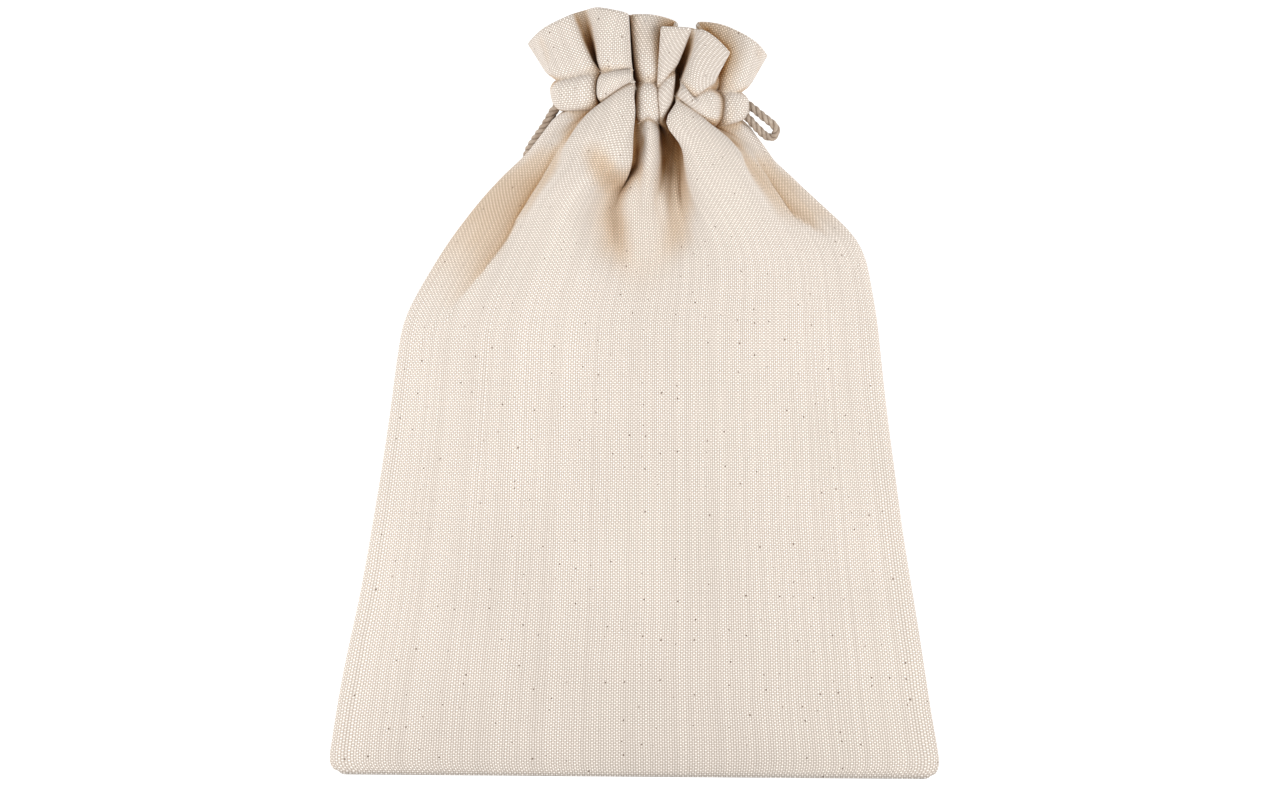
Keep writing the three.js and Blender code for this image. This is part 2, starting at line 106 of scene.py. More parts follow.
# cubic through the values at uneven knots, without a corner at any of them
def smoothThrough(knots, values, at):
    knots, values = np.asarray(knots, float), np.asarray(values, float)
    slopes = np.gradient(values, knots, axis=0)
    at = np.clip(np.asarray(at, float), knots[0], knots[-1])
    i = np.clip(np.searchsorted(knots, at, side="right") - 1, 0, len(knots) - 2)
    h = knots[i + 1] - knots[i]
    t = (at - knots[i]) / h
    if values.ndim > 1:
        h, t = h[..., None], t[..., None]
    start, end, a, b = values[i], values[i + 1], slopes[i] * h, slopes[i + 1] * h
    return start + t * (a + t * (3 * (end - start) - 2 * a - b + t * (2 * (start - end) + a + b)))


# Camera: straight above the bag, as the photo faces it
shot = {
    "photoSize": (1271, 800),
    "mmPerPixel": 0.25,
    "bottomMiddle": (634.5, 776.0),  # pixel of the bag's own zero
    "distance": 4500.0,  # mm, a long lens
    "sharpHeight": 12.0,  # mm above the table, where the scale above holds
    "sensor": 36.0,
    "clipEnd": 20.0,  # m
}


def makeCamera():
    width, height = shot["photoSize"]
    scale = shot["mmPerPixel"]
    zeroX, zeroY = shot["bottomMiddle"]
    data = bpy.data.cameras.new("photoCamera")
    data.sensor_fit = "HORIZONTAL"
    data.sensor_width = shot["sensor"]
    data.lens = shot["sensor"] * (shot["distance"] - shot["sharpHeight"]) / (width * scale)
    data.clip_end = shot["clipEnd"]
    camera = bpy.data.objects.new("photoCamera", data)
    camera.location = toFrame((
        (width / 2 - zeroX) * scale, (zeroY - height / 2) * scale, shot["distance"]))
    bpy.context.scene.collection.objects.link(camera)
    bpy.context.scene.camera = camera


makeCamera()
print("camera placed")


# Twisted cotton cord: three soft plies, matt, with fine fibre lines along each ply and painted shade in the
# grooves between them
def cottonCord():
    fibre = {
        "light": "#b9ab9c", "dark": "#968474", "groove": "#614d3a",
        "fibreMm": 0.14, "grainMm": 1.3, "bumpMm": 0.08,
        "grooveShadeFrom": 0.35, "grooveShadeShare": 0.85,  # painted shade between the plies: how deep in it starts to darken, and how much
    }
    material, tree = newMaterial("twistedCottonCord")
    place = addNode(tree, "ShaderNodeTexCoord").outputs["Object"]
    fine = addNode(tree, "ShaderNodeTexNoise", {
        "Vector": place, "Scale": 1 / (fibre["fibreMm"] * mm), "Detail": 3.0})
    broad = addNode(tree, "ShaderNodeTexNoise", {"Vector": place, "Scale": 1 / (fibre["grainMm"] * mm)})
    both = addNode(tree, "ShaderNodeMath", {0: fine, 1: broad}, operation="MULTIPLY")
    tone = addNode(tree, "ShaderNodeMapRange", {"Value": both, "From Min": 0.12, "From Max": 0.4})
    colour = addNode(tree, "ShaderNodeMix", {
        "Factor": tone, "A": linearColour(fibre["dark"]), "B": linearColour(fibre["light"])},
        data_type="RGBA")
    # painted shade: darker towards the groove colour deep between the plies
    depth = addNode(tree, "ShaderNodeAttribute", attribute_name="plyDepth").outputs["Fac"]
    grooveShade = addNode(tree, "ShaderNodeMapRange", {
        "Value": depth, "From Min": fibre["grooveShadeFrom"], "From Max": 1.0, "To Max": fibre["grooveShadeShare"]})
    plies = addNode(tree, "ShaderNodeMix", {
        "Factor": grooveShade, "A": colour, "B": linearColour(fibre["groove"])}, data_type="RGBA")
    bump = addNode(tree, "ShaderNodeBump", {
        "Height": fine, "Strength": 0.5, "Distance": fibre["bumpMm"] * mm})
    shader = addNode(tree, "ShaderNodeBsdfPrincipled", {
        "Base Color": plies, "Normal": bump, "Roughness": 0.92, "IOR": 1.45, "Specular IOR Level": 0.2,
        "Sheen Weight": 0.2})
    addNode(tree, "ShaderNodeOutputMaterial", {"Surface": shader})
    return material


# Drawstring: its loop at the right seam, and its two ends out of the left seam and under the bag
cord = {
    "diameter": 2.1,
    "plies": 3,
    "lay": 5.4,  # mm for one full turn of a ply
    "groove": 0.3,  # how deep the plies part, as a share of the radius
    "sides": 21,
    "step": 0.32,  # mm from ring to ring
    "finePerPoint": 12,  # points that measure the smooth line, for each one of a route
    "endRun": 0.6,  # an end is rounded over this share of the radius
    "tip": 0.2,  # and closes to this share of it
    "knotRadius": 0.85,
    "knotLength": 4.4,
    "knotTail": 0.9,  # mm of plain cord after the knot
    "knotTurns": 1.8,
    "knotPoints": 36,
    "knotRings": 12,  # rings of the cord's end that give the knot its direction
    "pieces": (  # route, node that it stands for, far end
        ("loop", "cord_loop", "object"),
        ("outer", "cord_end_outer", "knot"), ("inner", "cord_end_inner", "knot")),
    "loop": [
        (21.6, 169.8, 16.2), (24.6, 169.2, 17.4), (27.4, 168.3, 18.2), (29.9, 166.6, 18.9),
        (31.2, 165.5, 19.2), (32.8, 164.2, 19.2), (34.2, 163.1, 18.8), (35.2, 162, 18.4),
        (35.3, 160.7, 18), (34.3, 159.6, 17.9), (32.9, 159.9, 18.1), (31.6, 160.9, 18.9),
        (30.7, 161.8, 19.5), (30, 162.5, 19.8), (28.8, 163.9, 19.6), (27.2, 165.5, 18.6),
        (25, 167.1, 17), (22.6, 168, 15.6)],
    "outer": [
        (-17, 169.4, 16.4), (-18.8, 168, 15.2), (-20.3, 166.3, 14.2), (-21.4, 164.4, 13.3),
        (-22.8, 162.1, 12), (-24.6, 159.6, 10.4), (-26.3, 156.9, 8.4), (-27.5, 153.6, 6.3),
        (-29.2, 149.8, 4.4), (-30.9, 145.4, 2.8), (-32.7, 140, 1.7), (-34.3, 133, 1.15),
        (-36.4, 121, 1.15), (-38.6, 106, 1.15), (-39.8, 90, 1.15), (-39.6, 74, 1.15), (-38, 59, 1.35),
        (-35.8, 46, 2.1)],
    "inner": [
        (-17.2, 169, 14), (-18.9, 167.7, 12.9), (-20.2, 166, 11.6), (-21.2, 164, 10.3),
        (-23.1, 161.5, 8.2), (-24.2, 158.6, 5.5), (-24.8, 155.2, 4), (-26.3, 151, 2.9),
        (-27.9, 146.4, 1.8), (-29.7, 140.6, 1.3), (-31.4, 133, 1.15), (-33.6, 121, 1.15),
        (-35.9, 106, 1.15), (-37.1, 90, 1.15), (-36.9, 74, 1.15), (-35, 60, 1.35), (-31.8, 49, 2.1)],
}


# evenly spaced points along a smooth line through a route
def alongRoute(route, step):
    route = np.asarray(route, float)
    knots = np.concatenate([[0], np.cumsum(np.linalg.norm(np.diff(route, axis=0), axis=1))])
    fine = smoothThrough(knots, route, np.linspace(0, knots[-1], cord["finePerPoint"] * len(route)))
    lengths = np.concatenate([[0], np.cumsum(np.linalg.norm(np.diff(fine, axis=0), axis=1))])
    count = int(round(lengths[-1] / step))
    even = np.linspace(0, lengths[-1], count + 1)
    return np.stack([np.interp(even, lengths, fine[:, k]) for k in range(3)], axis=1), lengths[-1]


# a tube whose three plies wind round it, with rounded ends
def twistedTube(name, route, material):
    points, length = alongRoute(route, cord["step"])
    tangents = np.gradient(points, axis=0)
    tangents /= np.linalg.norm(tangents, axis=1)[:, None]
    side = np.cross(tangents[0], (0.0, 0.0, 1.0))
    vertices, depths = [], []
    radius, sides = cord["diameter"] / 2, cord["sides"]
    angles = np.arange(sides) * 2 * math.pi / sides
    for i, (point, tangent) in enumerate(zip(points, tangents)):
        side = side - tangent * np.dot(side, tangent)
        side /= np.linalg.norm(side)
        other = np.cross(tangent, side)
        along = i * length / (len(points) - 1)
        phase = cord["plies"] * (angles - 2 * math.pi * along / cord["lay"])
        lobes = 1 - cord["groove"] * (1 - np.abs(np.cos(phase / 2)))
        fromEnd = min(along, length - along) / (cord["endRun"] * radius)
        ring = radius * lobes * math.sqrt(max(cord["tip"] ** 2, 1 - max(0, 1 - fromEnd) ** 2))
        depths.extend((1 - lobes) / cord["groove"])
        ringX, ringY = (ring * np.cos(angles))[:, None], (ring * np.sin(angles))[:, None]
        vertices.extend(point + side * ringX + other * ringY)
    faces = []
    for i in range(len(points) - 1):
        for k in range(sides):
            a, b = i * sides + k, i * sides + (k + 1) % sides
            faces.append((a, b, b + sides, a + sides))
    faces.append(tuple(range(sides - 1, -1, -1)))
    faces.append(tuple(range((len(points) - 1) * sides, len(points) * sides)))
    made = addObject(name, toFrame(vertices), faces, material)
    addAttribute(made, "plyDepth", depths)
    return made, points, length


# an overhand knot pulled tight: the end wound round itself
def knotRoute(points):
    axis = points[-1] - points[-cord["knotRings"]]
    axis /= np.linalg.norm(axis)
    side = np.cross(axis, (0.0, 0.0, 1.0))
    side /= np.linalg.norm(side)
    other = np.cross(axis, side)
    turns = np.linspace(0, cord["knotTurns"] * 2 * math.pi, cord["knotPoints"])[:, None]
    along = np.linspace(-cord["knotLength"], -cord["knotTail"], cord["knotPoints"])[:, None]
    return points[-1] + axis * along + cord["knotRadius"] * (side * np.cos(turns) + other * np.sin(turns))


def makeCords():
    material = cottonCord()
    for name, node, farEnd in cord["pieces"]:
        piece, points, length = twistedTube("drawstring_" + name, cord[name], material)
        knots = [twistedTube("knot_" + name, knotRoute(points), material)[0]] if farEnd == "knot" else []
        for part in (piece, *knots):
            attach(part, "root")
        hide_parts(node)
        print("drawstring", name, round(length, 1), "mm")


makeCords()

# Bag: one cloth, drawn through tables in millimetres. x across, y up from the bottom fold, z off the table
bag = {
    "clothWidth": 152.0,  # flat, from seam to seam
    "clothLength": 404.0,  # flat, from the front frill's edge round the bottom to the back one's
    "bodyThickness": 0.8,
    "headingThickness": 1.2,  # doubled cloth of casing and frill
    "headingRows": (-1, 2),  # rows from the lower stitches over which it gets thicker
    "foldRadius": 0.9,  # half the gap between front and back at the bottom fold
    "seamBead": 0.8,  # and beside the side seams
    "seamOverhang": 0.4,  # how far a seam hangs over the lower stitches
    "seamShadeLimit": 0.85,  # painted shade never makes a seam darker than this
    "cornerRun": 2.2,  # how far in from a seam the bottom corner is round
    "restHeight": 0.5,  # middle of the cloth where the back lies on the table
    "tableGap": 0.02,  # the cloth's lowest point
    "bottomSlope": 0.008,  # the bottom fold runs down to the right
    "slopeEnds": 60,  # y where that has faded out
    "spreadRun": (20, 112),  # y over which the fold lines go from even steps to their places on the cloth
    "crownPower": 2.6,  # how square the front's arc is
    "arcSamples": 97,  # points that measure it
    "footHeight": 152.0,  # where the pleats have spread into the lobes of the body
    "neckMiddle": (3.6, 15.0),  # x and z that the cord draws the neck to
    "neckFlatness": 2,  # how much more a step up counts there than one across
    "ridgeFrom": (8, 20),  # distance from there, in a groove and on a ridge
    "draw": (0.6, 1.6),  # how late the cloth draws in under the casing: near the seams, more in the middle
    "casingPuff": 0.8,
    "puffPower": 0.7,  # below 1 the casing swells soon after its stitches
    "overhangGain": 6.2,  # scale of the curve in which a ridge hangs over
    "stitchPinch": 1.5,  # how deep the stitches draw in, and over what length
    "pinchLength": 1.3,
    "samplesPerSpan": 9,
    "shortestChord": 0.05,  # closer points count as this far apart
    "softening": 4,  # rounds of smoothing up the body, from the row softFrom on
    "softFrom": 5,
    "snapWider": 0.6,  # columns further apart than this are moved up to a crease, snapGap beside it
    "snapGap": 0.25,
    "lengthRun": (100, 140),  # y over which measured length takes over from the fold lines
    "lengthRounds": 12,  # of smoothing it from row to row
    "rimTurns": (45, 90, 135),  # degrees round the frill's edge, which is a fold
    "rimStep": 0.3,  # cloth that each of them takes
    "foldShade": {  # painted shade: less light for each mm of depth
        "middle trough": 0.012, "left valley": 0.008, "right valley": 0.008, "lobe crease": 0.11},
}

# Body at each height: the outline left and right, how high the seams and the front's crown are, how far the
# back's middle is lifted and what share of the back rests
bodyColumns = ("y", "left", "right", "seam", "crown", "lift", "resting")
bodySections = [
    (0.9, -75.2, 75.3, 1.5, 2.4, 0, 0.97), (1.6, -75.9, 75.9, 1.6, 2.8, 0, 0.96),
    (2.4, -76.3, 76.2, 1.7, 3.2, 0, 0.96), (3.6, -76.5, 76.4, 1.8, 3.8, 0, 0.95),
    (7, -76.1, 76.1, 2, 5.2, 0, 0.93), (14, -75.1, 74.8, 2.3, 7.4, 0, 0.9),
    (29, -72.4, 72.5, 2.8, 11, 0, 0.86), (44, -69.1, 70.1, 3.2, 14, 0, 0.84),
    (59, -66.4, 67.6, 3.6, 16.8, 0, 0.82), (74, -63.9, 65.6, 4, 19.4, 0, 0.8),
    (89, -61.6, 63.6, 4.5, 21.8, 0, 0.78), (104, -59.6, 61.9, 5.4, 24, 0, 0.74),
    (113.5, -57.9, 60.9, 6.4, 25.4, 0, 0.7), (117.5, -56.2, 60.3, 6.9, 26, 0, 0.68),
    (122.5, -53.4, 59.4, 7.6, 26.6, 0, 0.64), (131.5, -47.9, 57.2, 8.8, 27.6, 0, 0.56),
    (134.5, -45.9, 55.6, 9.3, 27.9, 0.1, 0.52), (137.5, -43.6, 52.6, 9.8, 28.2, 0.2, 0.48),
    (143.5, -38.9, 46, 10.9, 28.6, 0.6, 0.4), (149.5, -33.4, 39.6, 12.1, 28.8, 1.3, 0.32),
    (155.5, -27.4, 34.4, 13.4, 28.6, 2.3, 0.24),
]

# Pleats of the front from the left, ridge and groove in turn, each with its fold lines: where they lie on
# the flat cloth, x and z in the body at footHeight, then x, y and z on the lower stitches, on the upper ones
# and at the frill's edge. A hook moves one line sideways under the casing: which line, at what y, how far,
# over what length. A pleat's own draw goes before the bag's, and a tuck that lies open has a least tone,
# a limit on how dark its painted shade gets
frontPleats = {
    "left puff": {
        "cloth": (6, 16), "reach": 18, "overhang": 1.3,
        "foot": [(-28.2, 15.2), (-24.3, 18.4)], "low": [(-16.9, 166.4, 22.4), (-10.1, 166.9, 23.8)],
        "high": [(-18.9, 174, 22.6), (-10.2, 175.8, 24)],
        "top": [(-22.3, 186.4, 21.6), (-16.8, 189.1, 23.2)]},
    "soft groove": {
        "cloth": (21, 23.5), "reach": 16, "overhang": 0,
        "foot": [(-21.8, 20.6), (-19.6, 23)], "low": [(-9.4, 167.6, 22.6), (-8.8, 167.9, 22.6)],
        "high": [(-9.5, 175.4, 20.2), (-8.5, 175.6, 18.6)],
        "top": [(-14.9, 189.9, 20.8), (-12.2, 190.7, 20)]},
    "tall flare": {
        "cloth": (31, 55), "reach": 24, "overhang": 0.3, "hooks": [(1, 166.6, 1.5, 2.2)],
        "foot": [(-16.8, 28.4), (-1.5, 28.8)], "low": [(-8.1, 168.4, 26), (-0.9, 173.4, 26.2)],
        "high": [(-7.6, 175.9, 26), (-1.8, 176.3, 26.6)],
        "top": [(-8.9, 191.3, 24.4), (-2.5, 190.1, 25.8)]},
    "dark slit": {
        "cloth": (64, 67), "reach": 6, "overhang": 0,
        "foot": [(-0.7, 22.4), (0.7, 21.6)], "low": [(-0.5, 169, 24.2), (0.4, 166.8, 24)],
        "high": [(-1.1, 175.4, 19), (0.1, 174, 19)],
        "top": [(-1.8, 189.6, 20.2), (-0.8, 189.5, 19.2)]},
    "sunk flare": {
        "cloth": (72, 75, 78), "reach": 14, "overhang": 0.7, "hooks": [(0, 159, 1.1, 3.6)],
        "foot": [(1.8, 23.6), (3.5, 24.8), (5.6, 23.4)],
        "low": [(1.5, 163.3, 25), (3.4, 164.2, 25.8), (5.4, 163.2, 25)],
        "high": [(1.7, 173.2, 23.5), (3.4, 173.4, 25.3), (5.2, 172.8, 24.4)],
        "top": [(-0.2, 189.6, 23), (4, 189.6, 22.2), (8.6, 188.6, 19.6)]},
    "left tuck": {
        "cloth": (80.5, 82), "reach": 9, "overhang": 0,
        "foot": [(7, 18.6), (8.2, 18)], "low": [(5.9, 163.4, 18.2), (6.4, 163.3, 18.2)],
        "high": [(5.7, 172.4, 17.6), (6.3, 172.8, 17.6)],
        "top": [(10.2, 187.8, 19.6), (9.9, 186.8, 21.8)]},
    "narrow flare": {
        "cloth": (84, 87), "reach": 10, "overhang": 0, "draw": 5.0,
        "foot": [(9.4, 17.4), (10.5, 17.6)], "low": [(6.8, 163.4, 24.6), (7.9, 165.4, 24.8)],
        "high": [(6.3, 171.6, 25.4), (9.4, 176, 25.4)],
        "top": [(7.1, 186.6, 25.6), (13.2, 186.3, 26.3)]},
    "shallow groove": {
        "cloth": (89, 91), "reach": 12, "overhang": 0,
        "foot": [(11.5, 17.6), (12.4, 19.2)], "low": [(9.6, 168, 23.2), (10.6, 169.4, 23.4)],
        "high": [(10.2, 176.2, 18.6), (11.8, 175, 19)],
        "top": [(13.9, 186.2, 25.1), (15.4, 185.9, 25.6)]},
    "turned flare": {
        "cloth": (96, 106, 117), "reach": 22, "overhang": 0.3, "hooks": [(0, 163, -6, 3.4)],
        "foot": [(13.6, 28), (20.4, 28.8), (26.6, 28)],
        "low": [(11.4, 169.4, 26), (15.6, 166, 26), (19.4, 162.3, 24.6)],
        "high": [(12.8, 172.7, 26.4), (15, 169.5, 27.2), (18.4, 171.7, 26)],
        "top": [(17.2, 185.6, 27), (20, 183.8, 27), (23.2, 180.5, 25.8)]},
    "right tuck": {
        "cloth": (129, 131.5), "reach": 14, "overhang": 0, "leastTone": 0.6,
        "foot": [(28.4, 23), (30.6, 20.4)], "low": [(20.2, 162, 22.4), (21.2, 162.2, 21.6)],
        "high": [(21, 171.4, 21.2), (22.2, 171.2, 20.8)],
        "top": [(17.4, 185.4, 22.4), (15.9, 187.6, 20.4)]},
    "right end": {
        "cloth": (137, 143), "reach": 14, "overhang": 0.8,
        "foot": [(32.8, 17.6), (35.3, 15.2)], "low": [(22.5, 162.4, 22.6), (26.2, 163.4, 21.2)],
        "high": [(23.5, 171, 22.4), (26.6, 170.9, 21)],
        "top": [(21.6, 187.2, 20.4), (29.5, 183.4, 18.6)]},
}

# Left and right seam, each with how late it draws in, on the same three levels
sideSeams = [
    {"draw": 0.78, "low": (-18.5, 166.1, 15), "high": (-20.4, 174, 15), "top": (-26, 183, 14)},
    {"draw": 0.6, "low": (27.6, 164.2, 15), "high": (27.3, 170.8, 15), "top": (32.6, 180.1, 14)},
]

# Pleats of the back from the right seam to the left one, even but for the share of width of each ridge
backPleats = {
    "ridgeZ": (4.4, 2.2),  # at the stitches, at the frill's edge
    "grooveZ": (8.2, 6.0),
    "ridgeCloth": 4.0,  # half width on the flat cloth
    "grooveCloth": 1.5,
    "grooveHalf": 1.15,  # half width as it lies
    "wall": 0.7,  # width of the slope between groove and ridge
    "inset": 1.8,  # from the side seams
    "dip": 0.6,  # of the frill's edge in a groove
    "overhang": 0.3,
    "shares": (1.15, 0.85, 1.05, 0.9, 1.1, 0.95),
    "edgeY": (183.5, 185.8, 186.9, 187.6, 187.2, 185.0),
    "ridgeLines": (3, 2, 3, 2, 2, 2),
    "depths": (1, 0.7, 1.1, 0.8, 0.95),  # of each groove, as a share
    "lean": (0.5, -0.5, 0.3, -0.5, 0.4),  # sideways at the frill's edge
}

# Soft folds of the front, drawn as lines of x, y, half width to the left and to the right, and
# height: ridges up, valleys down
softFolds = {
    "middle trough": [
        (3, 100, 17, 17, 0), (3, 110, 16, 16, -1.2), (3, 118, 15, 15, -2.2), (3, 126, 13, 13, -3),
        (3, 134, 12, 12, -3.6), (3, 142, 10, 10, -3.2), (3.6, 149, 8, 8, -1.6), (4, 155, 7, 7, 0)],
    "left valley": [
        (-2, 113, 9, 8, 0), (-2.4, 122.5, 8, 7, -0.8), (-3, 126.5, 7.5, 6, -1.9), (-4, 130, 7, 5, -3.9),
        (-5, 134, 7, 4.2, -5.8), (-5.6, 138, 7, 4.2, -7.2), (-6, 141.5, 6.5, 4, -7.4),
        (-5, 145.2, 6, 3.6, -7.4), (-2.3, 149, 5, 1.9, -5.6), (-0.8, 151.4, 3.4, 1.8, -3.8),
        (0.2, 154, 2, 2, 0)],
    "right valley": [
        (3, 118, 8, 8, 0), (5.4, 126.5, 6, 6.4, -0.9), (8.6, 131, 5, 5.4, -2.1),
        (10, 134.5, 4.6, 4.6, -3.3), (10.4, 138, 4.4, 4.2, -4), (10.2, 141.5, 4.4, 4, -4.2),
        (9.9, 145.2, 4.2, 3.8, -3.2), (9.2, 149, 3.8, 3.4, -0.6), (9, 152.5, 3, 3.4, 0)],
    "lobe crease": [
        (-5.2, 145, 3, 3, 0), (-5.2, 147, 3.6, 3, -1.4), (-6, 149.5, 4, 3, -2.8),
        (-8, 152.7, 3.6, 3, -2.4), (-9.8, 156, 3.6, 3.4, -1.2), (-10.5, 160, 4, 4, 0)],
    "left lobe": [
        (-32, 104, 14, 14, 0), (-24, 120, 12, 12, 1.6), (-16, 136, 9, 9, 2.2), (-13, 148, 8, 8, 1),
        (-9, 156, 7, 7, 0)],
    "right lobe": [
        (38, 106, 13, 13, 0), (31, 122, 11, 11, 1.4), (25, 136, 9, 9, 2), (21, 148, 7, 7, 1),
        (20, 156, 7, 7, 0)],
}

# Each shoulder is turned under beside its seam: the crease by x and y, with how fully the cloth is turned
# there, its rise over the seam, how sunk the cloth starts inside it, over what run it comes up and how much
# painted shade darkens the turned strip
sideTucks = {
    "left": {
        "rise": 7.3, "ledge": 0.6, "run": 6.0, "shade": 0.16, "line": [
            (-54, 106, 0), (-46.4, 115.5, 0.14), (-39.2, 124, 0.34), (-32.1, 132.8, 0.68),
            (-27.6, 141.5, 1), (-23.4, 148.3, 1), (-20.4, 153, 0.6), (-17, 159, 0)]},
    "right": {
        "rise": 6, "ledge": 0.6, "run": 3.4, "shade": 0.06, "line": [
            (55, 127, 0), (48.9, 134, 0.5), (38.9, 140.3, 1), (33.1, 149, 1), (30.6, 153, 0.6),
            (28, 157.8, 0)]},
}


# one line for each seam and pleat fold, in order round the bag from the left seam; its way is 1 in front,
# 0 at a seam and -1 behind
def foldLines():
    width, levels, p = bag["clothWidth"], ("low", "high", "top"), backPleats
    front, back = [], []
    for pleat in frontPleats.values():
        for i, cloth in enumerate(pleat["cloth"]):
            line = {"way": 1, "share": cloth / width, "foot": pleat["foot"][i]}
            line["hooks"] = [hook[1:] for hook in pleat.get("hooks", []) if hook[0] == i]
            given = [key for key in ("reach", "overhang", "draw", "leastTone") if key in pleat]
            line.update({key: pleat[key] for key in given})
            line.update({level: pleat[level][i] for level in levels})
            front.append(line)
    asSeam = {"way": 0, "overhang": bag["seamOverhang"], "leastTone": bag["seamShadeLimit"], "hooks": []}
    leftSeam, rightSeam = ({"share": i, **asSeam, **seam} for i, seam in enumerate(sideSeams))
    total, done = sum(p["shares"]), 0.0
    ends = {level: (rightSeam[level][0] - p["inset"], leftSeam[level][0] + p["inset"]) for level in levels}

    def addBack(place, kind, halves, edgeY, sides, depth=0, lean=0):
        for side in sides:
            share = place + side * p[kind + "Cloth"] / width
            line = {"way": -1, "share": share, "overhang": p["overhang"], "hooks": []}
            for level, half in zip(levels, halves):
                atTop = int(level == "top")
                x = mix(*ends[level], place) - side * half + lean * atTop
                y = edgeY if atTop else mix(rightSeam[level][1], leftSeam[level][1], place)
                line[level] = (x, y, mix(p["ridgeZ"][atTop], p["grooveZ"][atTop], depth))
            back.append(line)

    for i, share in enumerate(p["shares"]):
        halves = [abs(b - a) * share / total / 2 - p["grooveHalf"] - p["wall"] for a, b in ends.values()]
        sides = np.linspace(-1, 1, p["ridgeLines"][i])
        addBack((done + share / 2) / total, "ridge", halves, p["edgeY"][i], sides)
        done += share
        if i + 1 < len(p["shares"]):
            halves = [p["grooveHalf"]] * len(levels)
            dipY = (p["edgeY"][i] + p["edgeY"][i + 1]) / 2 - p["dip"]
            addBack(done / total, "groove", halves, dipY, (-1, 1), p["depths"][i], p["lean"][i])
    lines = [leftSeam, *front, rightSeam, *back]
    half = len(lines) // 2
    nearSeam, moreInside = bag["draw"]
    for i, line in enumerate(lines):
        line["evenShare"] = (i if i <= half else i - half) / half
        line.setdefault("draw", nearSeam + moreInside * math.sqrt(math.sin(math.pi * line["share"])))
    return lines


# the body at one height; its cloth's middle lies half a thickness inside the outline
def bodyAt(y):
    table = np.array(bodySections, float)
    row = dict(zip(bodyColumns, smoothThrough(table[:, 0], table, np.array([y]))[0]))
    row["left"] += bag["restHeight"]
    row["right"] -= bag["restHeight"]
    return row


# the front between the seams as a crowned arc, measured along the cloth
def plainFront(body, share):
    across = np.linspace(0, 1, bag["arcSamples"])
    x = mix(body["left"], body["right"], across)
    arc = 1 - np.abs(2 * across - 1) ** bag["crownPower"]
    z = mix(body["seam"] + bag["seamBead"], body["crown"], arc)
    length = np.concatenate([[0], np.cumsum(np.hypot(np.diff(x), np.diff(z)))])
    return np.interp(share * length[-1], length, x), np.interp(share * length[-1], length, z)


# the back lies flat in its resting middle and turns up to the seams
def plainBack(body, share):
    turnedUp = max(0, (abs(2 * share - 1) - body["resting"]) / (1 - body["resting"])) ** 2
    z = mix(bag["restHeight"] + body["lift"], body["seam"] - bag["seamBead"], turnedUp)
    return mix(body["right"], body["left"], share), max(z, bag["restHeight"])


# the back rides up over the two cord ends that lie under it
channel = {
    "rise": 4.0,
    "half": 7.5,  # half its width
    "spread": 1.6,  # how many of these from its middle to where the back rests again
    "start": (27.0, 39.0),  # y over which it rises
}


def channelRise(x, y):
    outer, inner = (np.array(cord[name])[::-1] for name in ("outer", "inner"))
    middle = (np.interp(y, outer[:, 1], outer[:, 0]) + np.interp(y, inner[:, 1], inner[:, 0])) / 2
    off = abs(x - middle) / channel["half"]
    return channel["rise"] * float(ease(*channel["start"], y) * ease(0, 1, channel["spread"] - off))


# where a line lies across its side of the cloth, as a share
def clothShare(line, y):
    return mix(line["evenShare"], line["share"], float(ease(*bag["spreadRun"], y)))


def plainPoint(line, y):
    body = bodyAt(y)
    if line["way"] == 0:
        return (body["right"] if line["share"] else body["left"]), body["seam"]
    if line["way"] > 0:
        return plainFront(body, clothShare(line, y))
    x, z = plainBack(body, clothShare(line, y))
    return x, max(z, bag["restHeight"] + channelRise(x, y))


# a fold line in the body; below its foot the pleat fades into the plain cloth
def bodyPoint(line, y):
    x, z = plainPoint(line, y)
    tilted = y - x * bag["bottomSlope"] * (1 - float(ease(0, bag["slopeEnds"], y)))
    if line["way"] > 0:
        startX, startZ = plainPoint(line, bag["footHeight"])
        fade = float(ease(bag["footHeight"] - line["reach"], bag["footHeight"], y))
        x += (line["foot"][0] - startX) * fade
        z += (line["foot"][1] - startZ) * fade
    return np.array([x, tilted, z])


# out from the middle of the neck, and 1 on ridges, 0 in grooves
def outward(point):
    middleX, middleZ = bag["neckMiddle"]
    out = np.array([point[0] - middleX, 0.0, bag["neckFlatness"] * (point[2] - middleZ)])
    size = np.linalg.norm(out)
    return out / size, float(ease(*bag["ridgeFrom"], size))


def pinched(point, distance):
    out, ridge = outward(point)
    return point - out * ridge * bag["stitchPinch"] * math.exp(-(distance / bag["pinchLength"]) ** 2)


def underCasing(line, share):
    foot, low = bodyPoint(line, bag["footHeight"]), np.array(line["low"], float)
    point = mix(foot, low, share ** line["draw"])
    point[1] = mix(foot[1], low[1], share)
    for y, sideways, length in line["hooks"]:
        point[0] += sideways * math.exp(-((point[1] - y) / length) ** 2)
    return pinched(point, (1 - share) * (low[1] - foot[1]))


# between the two rows of stitches each ridge swells over the cord and hangs over the lower row
def inCasing(line, share):
    low, high = np.array(line["low"], float), np.array(line["high"], float)
    point = mix(low, high, share)
    out, ridge = outward(point)
    point = point + out * bag["casingPuff"] * ridge * math.sin(math.pi * share) ** bag["puffPower"]
    point[1] -= line["overhang"] * ridge * bag["overhangGain"] * share * (1 - share) ** 3
    return pinched(point, min(share, 1 - share) * (high[1] - low[1]))


def inFrill(line, share):
    high, top = np.array(line["high"], float), np.array(line["top"], float)
    return pinched(mix(high, top, share), share * (top[1] - high[1]))


# Rows of the cloth: heights beside the bottom fold, then up the body, then how many in each part of the neck
clothSteps = {
    "corner": (0.9, 1.4, 2, 2.7, 3.6, 5.2, 7.5),
    "body": (10, 108, 3.3),  # from, to, step
    "shoulders": (109, bag["footHeight"], 27),  # from, to, count
    "underCasing": 12,
    "casing": 13,
    "frill": 12,
}


